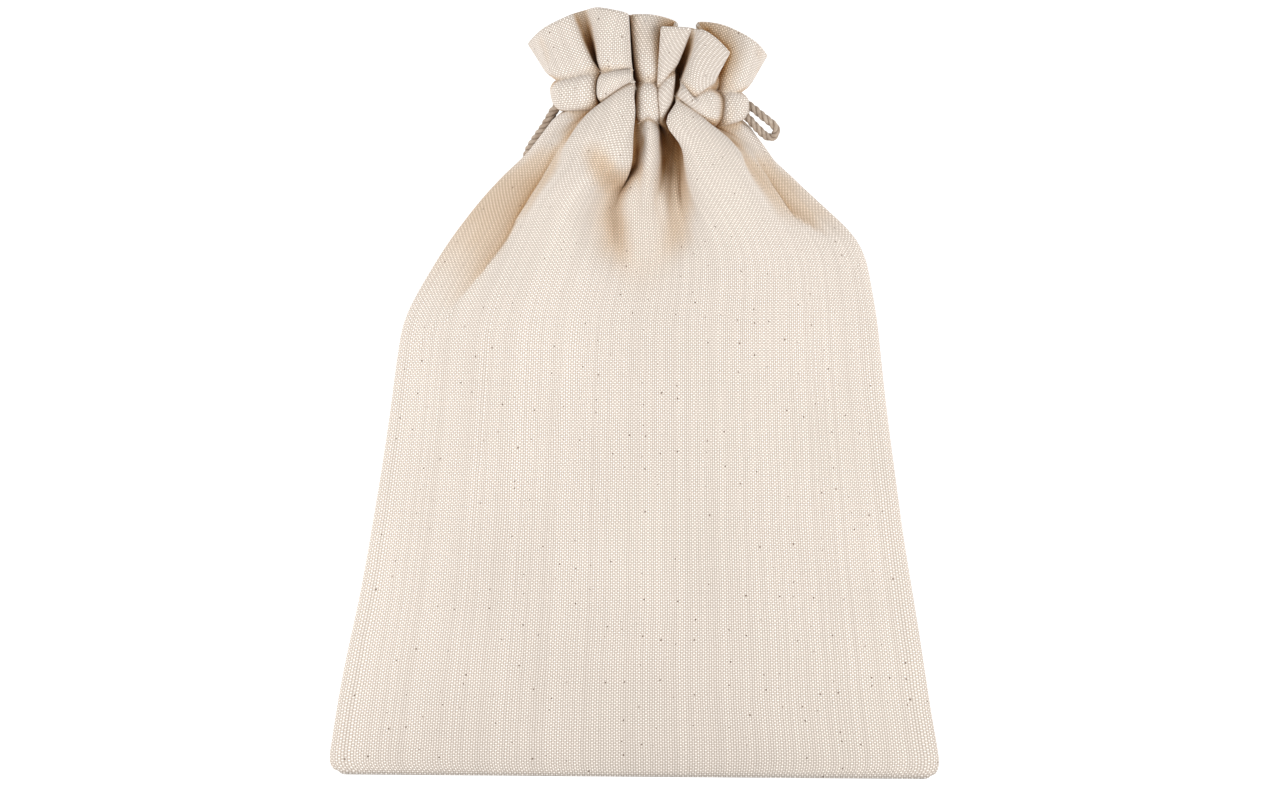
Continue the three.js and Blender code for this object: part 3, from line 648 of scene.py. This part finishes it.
# every row of the cloth from the bottom fold to the frill's edge, and where its lines lie on the flat cloth
def clothRows(lines):
    n = clothSteps
    heights = np.concatenate([n["corner"], np.arange(*n["body"]), np.linspace(*n["shoulders"])])
    sections = (
        (underCasing, np.linspace(0, 1, n["underCasing"])[1:-1]),
        (inCasing, np.linspace(0, 1, n["casing"])),
        (inFrill, np.linspace(0, 1, n["frill"])[1:]))
    rows = [[bodyPoint(line, y) for line in lines] for y in heights]
    for make, shares in sections:
        rows += [[make(line, share) for line in lines] for share in shares]
    rows = np.array(rows)
    half, lowRow = len(lines) // 2, len(heights) + len(sections[0][1])
    uses = []
    for r in range(len(rows)):
        y = heights[min(r, len(heights) - 1)]
        uses.append([clothShare(line, y) + (i >= half) for i, line in enumerate(lines)])
        uses[-1][half] = 1.0
    return rows, np.array(uses) * bag["clothWidth"], lowRow


# one round of smoothing from row to row; the first and the last stay
def smoothRows(values):
    values[1:-1] = values[1:-1] / 2 + (values[:-2] + values[2:]) / 4


# a closed smooth section through the fold lines
def smoothSection(points):
    count, n = len(points), bag["samplesPerSpan"]
    lead = 3  # points repeated from the far end, so that it closes smoothly
    wrapped = np.concatenate([points[-lead:], points, points[:lead + 1]])
    chords = np.linalg.norm(np.diff(wrapped, axis=0), axis=1)
    knots = np.concatenate([[0], np.cumsum(np.sqrt(np.maximum(chords, bag["shortestChord"])))])
    spans = knots[lead:lead + count]
    widths = knots[lead + 1:lead + 1 + count] - spans
    at = (spans[:, None] + widths[:, None] * np.arange(n)[None, :] / n).ravel()
    return smoothThrough(knots, wrapped, at)


# moves the two columns beside a crease up to it, so that the crease runs clean
def snapColumns(front, table):
    for row in front:
        crease = np.interp(row[:, 1], table[:, 1], table[:, 0])
        k = np.nonzero(np.diff(np.sign(row[:, 0] - crease)))[0]
        if len(k) == 1 and table[0, 1] < row[k[0], 1] < table[-1, 1]:
            left, right = k[0], k[0] + 1
            if row[right, 0] - row[left, 0] > bag["snapWider"]:
                row[left, 0], row[right, 0] = crease[left] - bag["snapGap"], crease[right] + bag["snapGap"]


# the soft folds and the two side tucks, on the front of the body; gives how much painted shade their cloth
# gets
def foldFront(grid, half):
    front = grid[:, 1:half]
    shadow = np.zeros(grid.shape[:2])
    x, y, z = (front[..., k] for k in range(3))
    for name, line in softFolds.items():
        table = np.array(line, float)
        middle, leftHalf, rightHalf, height = (
            np.interp(y, table[:, 1], table[:, k]) for k in (0, 2, 3, 4))
        off = (x - middle) / np.where(x < middle, leftHalf, rightHalf)
        depth = height * np.exp(-off ** 2)
        z += depth
        shadow[:, 1:half] -= bag["foldShade"].get(name, 0) * depth
    for side, tuck in sideTucks.items():
        table = np.array(tuck["line"], float)
        snapColumns(front, table)
        crease, fully = (np.interp(y, table[:, 1], table[:, k], left=0, right=0) for k in (0, 2))
        seam = grid[:, :1] if side == "left" else grid[:, half:half + 1]
        inward = 1 if side == "left" else -1
        creaseZ = seam[..., 2] + tuck["rise"]
        fromSeam = np.clip((x - seam[..., 0]) / (crease - seam[..., 0] + 1e-9), 0, 1)  # not by 0
        strip = mix(seam[..., 2] + bag["seamBead"], creaseZ, fromSeam)
        up = 1 - (1 - np.clip(inward * (x - crease) / tuck["run"], 0, 1)) ** 2
        onStrip = inward * (x - crease) < 0
        turned = np.where(onStrip, strip, mix(creaseZ, z, mix(tuck["ledge"], 1, up)))
        z += fully * np.minimum(turned - z, 0)
        shadow[:, 1:half] += np.where(onStrip, fully * tuck["shade"], 0)
    return shadow


def clothGrid():
    lines = foldLines()
    rows, uses, lowRow = clothRows(lines)
    grid = np.array([smoothSection(row) for row in rows])
    for _ in range(bag["softening"]):
        smoothRows(grid[bag["softFrom"]:lowRow - 1])
    shadow = foldFront(grid, grid.shape[1] // 2)
    grid[..., 2] = np.maximum(grid[..., 2], bag["restHeight"])
    tones = [line.get("leastTone", 0) for line in lines]
    least = np.interp(np.arange(grid.shape[1]) / bag["samplesPerSpan"], np.arange(len(lines)), tones)
    return grid, shadow, least, clothAcross(grid, uses), lowRow


# where each point lies across the flat cloth: by the fold lines in the body, by measured length in the neck
def clothAcross(grid, uses):
    rowCount, around, _ = grid.shape
    half, width = around // 2, bag["clothWidth"]
    ends = np.concatenate([uses, np.full((rowCount, 1), 2 * width)], axis=1)
    t = np.arange(bag["samplesPerSpan"]) / bag["samplesPerSpan"]
    byLines = (ends[:, :-1, None] * (1 - t) + ends[:, 1:, None] * t).reshape(rowCount, -1)
    steps = np.linalg.norm(np.roll(grid, -1, axis=1) - grid, axis=2)
    byLength = np.zeros((rowCount, around))
    for side in (0, 1):
        run = steps[:, side * half:(side + 1) * half]
        total = np.cumsum(run, axis=1)
        byLength[:, side * half:(side + 1) * half] = width * (side + (total - run) / total[:, -1:])
    for _ in range(bag["lengthRounds"]):
        smoothRows(byLength)
    return mix(byLines, byLength, ease(*bag["lengthRun"], grid[:, half // 2, 1])[:, None])


# Painted shade in the folds: the share of the sky over each point of a height map, which sets how dark and
# brown the cloth is painted
shade = {
    "cellMm": 0.6,
    "directions": 16,
    "reachMm": (0.6, 1.2, 1.9, 2.8, 4, 5.6, 8, 11, 15),
    "marginMm": 20,
    "slackMm": 0.2,  # lower steps than this hide nothing
    "fillRounds": 2,  # cells that no point fell in, with more neighbours than fillNeighbours, are filled
    "fillNeighbours": 2,
    "tiltShare": 0.5,  # tilted cloth sees less sky but isn't in a fold: how much of that is made up for
    "tiltFull": (0.4, 0.48),  # and where all of it is, near the seams, as shares of the width off the middle
    "backLeast": 0.95,  # the back is plain, with almost no painted shade
    "openRows": (14, 5),  # rows under the lower stitches over which the cloth stands open
    "openShare": (0.9, 0.3),  # how much lighter that makes the painted shade there, and in casing and frill
    "openFrom": (0.4, 0.85),  # but not deep in the folds
}


def openness(points):
    cell = shade["cellMm"]
    flat, margin = points[:, :2], shade["marginMm"]
    low = flat.min(axis=0) - margin
    size = np.ceil((flat.max(axis=0) + margin - low) / cell).astype(int) + 1
    heights = np.zeros(size)
    where = np.round((flat - low) / cell).astype(int)
    np.maximum.at(heights, (where[:, 0], where[:, 1]), points[:, 2])
    for _ in range(shade["fillRounds"]):
        around = np.stack([np.roll(heights, step, axis) for axis in (0, 1) for step in (-1, 1)])
        enclosed = (around > 0).sum(axis=0) > shade["fillNeighbours"]
        heights = np.where((heights <= 0) & enclosed, around.max(axis=0), heights)
    seen = np.zeros(len(points))
    for angle in np.arange(shade["directions"]) * 2 * math.pi / shade["directions"]:
        way = np.array([math.cos(angle), math.sin(angle)])
        steepest = np.zeros(len(points))
        for reach in shade["reachMm"]:
            at = np.clip(np.round((flat + reach * way - low) / cell).astype(int), 0, size - 1)
            rise = heights[at[:, 0], at[:, 1]] - points[:, 2] - shade["slackMm"]
            steepest = np.maximum(steepest, rise / reach)
        seen += 1 / (1 + steepest ** 2)
    return seen / shade["directions"]


# painted shade: how light each point of the cloth's outside is painted, from 0 deep in a fold to 1 in the
# open
def paintedFoldShades(points, normals, inHeading, lowRow, shadow, least):
    rowCount, around = shadow.shape
    half, rimRows = around // 2, len(bag["rimTurns"])
    soft = openness(points).reshape(rowCount + rimRows, around)
    facing = np.abs(np.concatenate([normals[..., 2], np.repeat(normals[-1:, :, 2], rimRows, axis=0)]))
    across = np.abs(np.arange(around) % half / half - 0.5)
    madeUp = mix(shade["tiltShare"], 1, ease(*shade["tiltFull"], across))
    madeUp = np.maximum(madeUp[None, :], np.pad(inHeading, (0, rimRows), constant_values=1)[:, None])
    soft = np.minimum(soft / mix(1, (1 + facing) / 2, madeUp), 1)
    smoothRows(soft)
    soft = soft / 2 + (np.roll(soft, 1, axis=1) + np.roll(soft, -1, axis=1)) / 4
    soft[:, half:] = np.maximum(soft[:, half:], shade["backLeast"])
    rows = np.arange(rowCount + rimRows)
    start, end = shade["openRows"]
    under, above = shade["openShare"]
    standing = np.where(rows < lowRow, under * ease(lowRow - start, lowRow - end, rows), above)
    soft = mix(soft, 1, standing[:, None] * ease(*shade["openFrom"], soft))
    soft[:rowCount] -= shadow
    return np.maximum(soft, least)


def makeBag(material):
    grid, shadow, least, cloth, lowRow = clothGrid()
    rowCount, around, _ = grid.shape
    half, rimRows = around // 2, len(bag["rimTurns"])
    steps = np.linalg.norm(np.diff(grid, axis=0), axis=2).mean(axis=1)
    lengths = np.concatenate([[0], np.cumsum(steps)])
    fold = grid[0].copy()
    fromSeam = np.minimum(fold[:, 0] - fold[0, 0], fold[half, 0] - fold[:, 0]) / bag["cornerRun"]
    straight = 1 - np.clip(1 - fromSeam, 0, 1) ** 2  # 0 at a corner, 1 along the fold
    fold[:, 1] -= bag["foldRadius"] * straight
    fold[:, 2] = bag["restHeight"] + bag["foldRadius"]
    below = np.concatenate([fold[None], grid[:-1]])
    above = np.concatenate([grid[1:], grid[-1:]])
    normals = np.cross(np.roll(grid, -1, axis=1) - np.roll(grid, 1, axis=1), above - below)
    normals /= np.linalg.norm(normals, axis=2)[..., None]
    thinTo, thickFrom = bag["headingRows"]
    inHeading = ease(lowRow + thinTo, lowRow + thickFrom, np.arange(rowCount))
    thick = mix(bag["bodyThickness"], bag["headingThickness"], inHeading)[:, None, None] / 2
    rim = []
    edgeUp = grid[-1] - grid[-2]
    edgeUp /= np.linalg.norm(edgeUp, axis=1)[:, None]
    for turn in np.radians(bag["rimTurns"]):
        rim.append(grid[-1] + thick[-1] * (normals[-1] * math.cos(turn) + edgeUp * math.sin(turn)))
    layers = np.concatenate([grid + normals * thick, rim, (grid - normals * thick)[::-1]])
    layers[..., 2] = np.maximum(layers[..., 2], bag["tableGap"])
    rimUv = lengths[-1] + bag["rimStep"] * np.arange(1, rimRows + 2)
    rowsUv = np.concatenate([lengths, rimUv[:-1], lengths[-1] + rimUv[-1] - lengths[::-1]])
    clothUv = np.concatenate([cloth, np.repeat(cloth[-1:], rimRows, axis=0), cloth[::-1]])
    vertices = list(layers.reshape(-1, 3))
    total = len(layers)
    faces, corners = [], []

    def uvOf(r, c):
        wrap = 2 * bag["clothWidth"] if c == around else 0.0
        return (clothUv[r, c % around] + wrap, rowsUv[r])

    for r in range(total - 1):
        for c in range(around):
            quad = ((r, c), (r, c + 1), (r + 1, c + 1), (r + 1, c))
            faces.append(tuple(i * around + k % around for i, k in quad))
            corners.extend(uvOf(i, k) for i, k in quad)
    for layer, sign in ((0, 1), (total - 1, -1)):  # the bottom fold joins front to back, outside and inside
        middle = fold[1:half].copy()
        middle[:, 1] -= sign * bag["bodyThickness"] / 2 * straight[1:half]
        first = len(vertices)
        vertices.extend(middle)

        def foldVertex(c):
            k = c if c <= half else around - c
            return layer * around + k if k in (0, half) else first + k - 1

        for c in range(around):
            beside = (c + 1) % around
            quad = [layer * around + c, layer * around + beside, foldVertex(beside), foldVertex(c)]
            uv = [uvOf(layer, c), uvOf(layer, c + 1)]
            uv += [(u, -bag["foldRadius"]) for u, _ in uv[::-1]]
            if sign > 0:
                quad, uv = quad[::-1], uv[::-1]
            kept = [i for i in range(4) if quad[i] not in quad[:i]]
            faces.append(tuple(quad[i] for i in kept))
            corners.extend(uv[i] for i in kept)
    made = addObject("bag_cloth", toFrame(vertices), faces, material)
    uvLayer = made.data.uv_layers.new(name="clothMm")
    uvLayer.data.foreach_set("uv", np.array(corners, dtype=np.float32).ravel())
    outside = (rowCount + rimRows) * around
    # painted shade: the outside is darkened and browned where folds keep the light out, stored on the cloth
    soft = paintedFoldShades(np.array(vertices[:outside]), normals, inHeading, lowRow, shadow, least)
    tone = np.ones(len(vertices))
    tone[:outside] = soft.ravel()
    addAttribute(made, "paintedShadeTone", tone)
    print("bag cloth:", len(made.data.vertices), "points,", len(faces), "faces")
    highRow = lowRow + clothSteps["casing"] - 1
    stitchRows = [(grid[r] + normals[r] * thick[r], soft[r]) for r in (lowRow, highRow)]
    return made, stitchRows


# Natural cotton canvas: an unbleached plain weave, matt, with raised yarns of uneven tone and seed flecks,
# painted shade between the yarns, and painted shade that darkens and browns the folds
def cottonCanvas():
    weave = {
        # gap is painted shade, the colour where the yarns lie low
        "yarn": "#f9f2ea", "gap": "#86705b", "fleck": "#57402e",
        "warpMm": 0.62, "weftMm": 0.44,  # really 0.58 by 0.40 mm, drawn a little coarser so that they show
        "yarnHeightMm": 0.14, "weftSink": 0.55, "yarnRoundness": 0.6, "crossingEdge": 0.15, "gapShadeShare": 0.8,
        "warpTone": 0.17, "weftTone": 0.01, "slubTone": 0.05, "slubMm": 22.0,
        "patchTone": 0.03, "patchMm": 34.0,
        "warpSeed": 3.0, "weftSeed": 71.0, "seedStep": 5.37,  # sets neighbouring yarns apart
        "wanderMm": 0.6, "wanderEveryMm": 12.0,
        "fleckEveryMm": 4.6, "fleckMm": 0.25, "fleckFrom": 0.4, "fleckShare": 0.8,
        "paintedShadeTints": (  # painted shade: browner where less light gets in
            (0.0, "#774a22"), (0.3, "#b18453"), (0.45, "#cdab81"),
            (0.6, "#e4cdb1"), (0.84, "#f5e9da"), (0.97, "#ffffff")),
    }
    material, tree = newMaterial("naturalCottonCanvas")
    place = addNode(tree, "ShaderNodeUVMap", uv_map="clothMm")
    wander = addNode(tree, "ShaderNodeTexNoise", {
        "Vector": place, "Scale": 1 / weave["wanderEveryMm"], "Detail": 2.0})
    shift = addNode(tree, "ShaderNodeVectorMath", {
        0: wander.outputs["Color"], 1: (0.5, 0.5, 0.5)}, operation="SUBTRACT")
    bent = addNode(tree, "ShaderNodeVectorMath", {
        0: shift, 1: (weave["wanderMm"], weave["wanderMm"], 0), 2: place}, operation="MULTIPLY_ADD")
    axes = addNode(tree, "ShaderNodeSeparateXYZ", {0: bent})
    humps, tones = [], []
    for axis, other, yarn in (("X", "Y", "warp"), ("Y", "X", "weft")):
        uneven = weave[yarn + "Tone"]
        count = addNode(tree, "ShaderNodeMath", {
            0: axes.outputs[axis], 1: weave[yarn + "Mm"]}, operation="DIVIDE")
        turn = addNode(tree, "ShaderNodeMath", {0: count, 1: math.pi}, operation="MULTIPLY")
        humps.append(addNode(tree, "ShaderNodeMath", {0: turn}, operation="SINE"))
        which = addNode(tree, "ShaderNodeMath", {0: count}, operation="FLOOR")
        apart = addNode(tree, "ShaderNodeMath", {
            0: which, 1: weave["seedStep"], 2: weave[yarn + "Seed"]}, operation="MULTIPLY_ADD")
        along = addNode(tree, "ShaderNodeMath", {
            0: axes.outputs[other], 1: weave["slubMm"]}, operation="DIVIDE")
        ofYarn = addNode(tree, "ShaderNodeCombineXYZ", {0: apart, 1: along})
        own = addNode(tree, "ShaderNodeTexWhiteNoise", {"W": apart}, noise_dimensions="1D")
        slub = addNode(tree, "ShaderNodeTexNoise", {
            "Vector": ofYarn, "Scale": 1.0, "Detail": 3.0}, noise_dimensions="2D")
        ownTone = addNode(tree, "ShaderNodeMapRange", {
            "Value": own, "To Min": 1 - uneven / 2, "To Max": 1 + uneven / 2})
        slubTone = addNode(tree, "ShaderNodeMapRange", {
            "Value": slub, "From Min": 0.25, "From Max": 0.75, "To Min": 1 - weave["slubTone"] / 2,
            "To Max": 1 + weave["slubTone"] / 2})
        tones.append(addNode(tree, "ShaderNodeMath", {0: ownTone, 1: slubTone}, operation="MULTIPLY"))
    crossing = addNode(tree, "ShaderNodeMath", {0: humps[0], 1: humps[1]}, operation="MULTIPLY")
    dome = addNode(tree, "ShaderNodeMath", {0: crossing}, operation="ABSOLUTE")
    rounded = addNode(tree, "ShaderNodeMath", {0: dome, 1: weave["yarnRoundness"]}, operation="POWER")
    onTop = addNode(tree, "ShaderNodeMapRange", {
        "Value": crossing, "From Min": -weave["crossingEdge"], "From Max": weave["crossingEdge"]})
    proud = addNode(tree, "ShaderNodeMapRange", {
        "Value": onTop, "To Min": weave["weftSink"], "To Max": 1.0})
    height = addNode(tree, "ShaderNodeMath", {0: rounded, 1: proud}, operation="MULTIPLY")
    tone = addNode(tree, "ShaderNodeMix", {"Factor": onTop, "A": tones[1], "B": tones[0]})
    broad = addNode(tree, "ShaderNodeTexNoise", {
        "Vector": place, "Scale": 1 / weave["patchMm"], "Detail": 2.0})
    patch = addNode(tree, "ShaderNodeMapRange", {
        "Value": broad, "From Min": 0.3, "From Max": 0.7, "To Min": 1 - weave["patchTone"],
        "To Max": 1 + weave["patchTone"]})
    level = addNode(tree, "ShaderNodeMath", {0: tone, 1: patch}, operation="MULTIPLY")
    # painted shade: the colour darkens towards the gap colour where the yarns lie low, between and under the
    # raised ones
    gapShade = addNode(tree, "ShaderNodeMapRange", {
        "Value": height, "From Min": 0.1, "From Max": 0.9, "To Min": weave["gapShadeShare"], "To Max": 0.0})
    woven = addNode(tree, "ShaderNodeMix", {
        "Factor": gapShade, "A": linearColour(weave["yarn"]), "B": linearColour(weave["gap"])},
        data_type="RGBA")
    toned = addNode(tree, "ShaderNodeMix", {
        "Factor": 1.0, "A": woven, "B": level}, data_type="RGBA", blend_type="MULTIPLY")
    seeds = addNode(tree, "ShaderNodeTexVoronoi", {
        "Vector": place, "Scale": 1 / weave["fleckEveryMm"]}, voronoi_dimensions="2D")
    size = addNode(tree, "ShaderNodeSeparateColor", {0: seeds.outputs["Color"]})
    reach = addNode(tree, "ShaderNodeMapRange", {
        "Value": size, "From Min": weave["fleckFrom"], "From Max": 1.0, "To Min": 0.0,
        "To Max": weave["fleckMm"] / weave["fleckEveryMm"]})
    isFleck = addNode(tree, "ShaderNodeMath", {0: seeds, 1: reach}, operation="LESS_THAN")
    fleckShare = addNode(tree, "ShaderNodeMath", {0: isFleck, 1: weave["fleckShare"]}, operation="MULTIPLY")
    flecked = addNode(tree, "ShaderNodeMix", {
        "Factor": fleckShare, "A": toned, "B": linearColour(weave["fleck"])}, data_type="RGBA")
    # painted shade of the folds, multiplied into the cloth's colour
    shadeTone = addNode(tree, "ShaderNodeAttribute", attribute_name="paintedShadeTone").outputs["Fac"]
    shadeTint = addNode(tree, "ShaderNodeValToRGB", {0: shadeTone})
    stops = shadeTint.color_ramp.elements
    while len(stops) < len(weave["paintedShadeTints"]):
        stops.new(1.0)
    for stop, (amount, colour) in zip(stops, weave["paintedShadeTints"]):
        stop.position, stop.color = amount, linearColour(colour)
    withFoldShade = addNode(tree, "ShaderNodeMix", {
        "Factor": 1.0, "A": flecked, "B": shadeTint}, data_type="RGBA", blend_type="MULTIPLY")
    raised = addNode(tree, "ShaderNodeMath", {0: height, 1: level}, operation="MULTIPLY")
    bump = addNode(tree, "ShaderNodeBump", {
        "Height": raised, "Strength": 0.6, "Distance": weave["yarnHeightMm"] * mm})
    shader = addNode(tree, "ShaderNodeBsdfPrincipled", {
        "Base Color": withFoldShade, "Normal": bump, "Roughness": 0.95, "IOR": 1.45, "Specular IOR Level": 0.15,
        "Sheen Weight": 0.12})
    addNode(tree, "ShaderNodeOutputMaterial", {"Surface": shader})
    return material


canvasMaterial = cottonCanvas()
bagCloth, stitchRows = makeBag(canvasMaterial)
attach(bagCloth, "root")
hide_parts("bag")


# Cotton sewing thread: two plies, a little lighter and glossier than the canvas
def cottonThread():
    thread = {"light": "#e9dfd2", "dark": "#cbbba8", "twistMm": 0.5, "bumpMm": 0.05}
    material, tree = newMaterial("cottonThread")
    place = addNode(tree, "ShaderNodeTexCoord").outputs["Object"]
    twist = addNode(tree, "ShaderNodeTexNoise", {
        "Vector": place, "Scale": 1 / (thread["twistMm"] * mm), "Detail": 2.0})
    colour = addNode(tree, "ShaderNodeMix", {
        "Factor": twist, "A": linearColour(thread["dark"]), "B": linearColour(thread["light"])},
        data_type="RGBA")
    bump = addNode(tree, "ShaderNodeBump", {
        "Height": twist, "Strength": 0.4, "Distance": thread["bumpMm"] * mm})
    shader = addNode(tree, "ShaderNodeBsdfPrincipled", {
        "Base Color": colour, "Normal": bump, "Roughness": 0.75, "Sheen Weight": 0.1})
    addNode(tree, "ShaderNodeOutputMaterial", {"Surface": shader})
    return material


# Stitches of the casing: two rows round the neck
stitch = {
    "seenFrom": 0.6,  # they show where the folds are this open
    "uneven": (0.88, 1.08),  # shortest and longest, as shares
    "inputs": {"Stitch Length": 1.6 * mm, "Stitch Gap": 0.5 * mm, "Thread Width": 0.3 * mm, "Seed": 4},
}


def makeStitches(rows):
    material = cottonThread()
    tree = bpy.data.node_groups.new("lockStitches", "GeometryNodeTree")
    tree.interface.new_socket("Geometry", in_out="INPUT", socket_type="NodeSocketGeometry")
    tree.interface.new_socket("Geometry", in_out="OUTPUT", socket_type="NodeSocketGeometry")
    sockets = {}
    for name in stitch["inputs"]:
        kind = "NodeSocketInt" if name == "Seed" else "NodeSocketFloat"
        sockets[name] = tree.interface.new_socket(name, in_out="INPUT", socket_type=kind)
    given = addNode(tree, "NodeGroupInput").outputs
    line = addNode(tree, "GeometryNodeMeshToCurve", {"Mesh": given["Geometry"]})
    pitch = addNode(tree, "ShaderNodeMath", {
        0: given["Stitch Length"], 1: given["Stitch Gap"]}, operation="ADD")
    even = addNode(tree, "GeometryNodeResampleCurve", {"Curve": line, "Length": pitch}, mode="LENGTH")
    along = addNode(tree, "GeometryNodeInputTangent")
    turn = addNode(tree, "FunctionNodeAlignRotationToVector", {"Vector": along}, axis="X")
    bead = addNode(tree, "GeometryNodeMeshUVSphere", {"Segments": 8, "Rings": 6, "Radius": 0.5})
    size = addNode(tree, "ShaderNodeCombineXYZ", {
        0: given["Stitch Length"], 1: given["Thread Width"], 2: given["Thread Width"]})
    thread = addNode(tree, "GeometryNodeTransform", {"Geometry": bead, "Scale": size})
    shortest, longest = stitch["uneven"]
    uneven = addNode(tree, "FunctionNodeRandomValue", {
        "Min": shortest, "Max": longest, "Seed": given["Seed"]}, data_type="FLOAT")
    placed = addNode(tree, "GeometryNodeInstanceOnPoints", {
        "Points": even, "Instance": thread, "Rotation": turn, "Scale": uneven})
    real = addNode(tree, "GeometryNodeRealizeInstances", {0: placed})
    sewn = addNode(tree, "GeometryNodeSetMaterial", {"Geometry": real, "Material": material})
    addNode(tree, "NodeGroupOutput", {0: sewn})
    edges = []
    for r, (points, tones) in enumerate(rows):
        count = len(points)
        for i in range(count):
            if min(tones[i], tones[(i + 1) % count]) > stitch["seenFrom"]:
                edges.append((r * count + i, r * count + (i + 1) % count))
    mesh = bpy.data.meshes.new("casing_stitches")
    mesh.from_pydata([tuple(v) for v in toFrame(np.concatenate([points for points, _ in rows]))], edges, [])
    made = bpy.data.objects.new("casing_stitches", mesh)
    bpy.context.scene.collection.objects.link(made)
    modifier = made.modifiers.new("stitches", "NODES")
    modifier.node_group = tree
    for name, socket in sockets.items():
        modifier[socket.identifier] = stitch["inputs"][name]
    seen = bpy.context.evaluated_depsgraph_get()
    sewnMesh = bpy.data.meshes.new_from_object(made.evaluated_get(seen), depsgraph=seen)
    made.modifiers.remove(modifier)
    made.data = sewnMesh
    sewnMesh.shade_smooth()
    print("stitches:", len(sewnMesh.polygons), "faces")
    return made


stitches = makeStitches(stitchRows)
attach(stitches, "root")

# Stage: a table of plain white paper, matt and so bright that no edge shows, with a soft box on each side
stage = {
    "floorSize": 24.0, "floor": "#b4b4b4", "floorGlow": 0.75, "world": 0.52,
    "boxSize": 0.26, "boxPower": 1.1, "boxPlaces": ((-0.27, -0.01, 0.26), (0.28, 0.0, 0.26)),  # m and W
}


def makeStage():
    material, tree = newMaterial("whitePaper")
    shader = addNode(tree, "ShaderNodeBsdfPrincipled", {
        "Base Color": linearColour(stage["floor"]), "Roughness": 0.9, "Specular IOR Level": 0.1,
        "Emission Color": (1, 1, 1, 1), "Emission Strength": stage["floorGlow"]})
    addNode(tree, "ShaderNodeOutputMaterial", {"Surface": shader})
    r = stage["floorSize"] / 2
    floor = addObject("floor", [(-r, -r, 0), (r, -r, 0), (r, r, 0), (-r, r, 0)], [(0, 1, 2, 3)], material)
    world = bpy.data.worlds.new("softRoom")
    world.use_nodes = True
    world.node_tree.nodes["Background"].inputs["Color"].default_value = (1, 1, 1, 1)
    world.node_tree.nodes["Background"].inputs["Strength"].default_value = stage["world"]
    bpy.context.scene.world = world
    for i, place in enumerate(stage["boxPlaces"]):
        name = "softBox" + str(i + 1)
        lamp = bpy.data.lights.new(name, "AREA")
        lamp.size = stage["boxSize"]
        lamp.energy = stage["boxPower"]
        lampObject = bpy.data.objects.new(name, lamp)
        lampObject.location = place
        lampObject.rotation_euler = (-Vector(place)).to_track_quat("-Z", "Y").to_euler()
        lampObject.visible_camera = False
        bpy.context.scene.collection.objects.link(lampObject)
    bpy.context.scene.view_settings.view_transform = "Standard"


makeStage()
print("stage set")
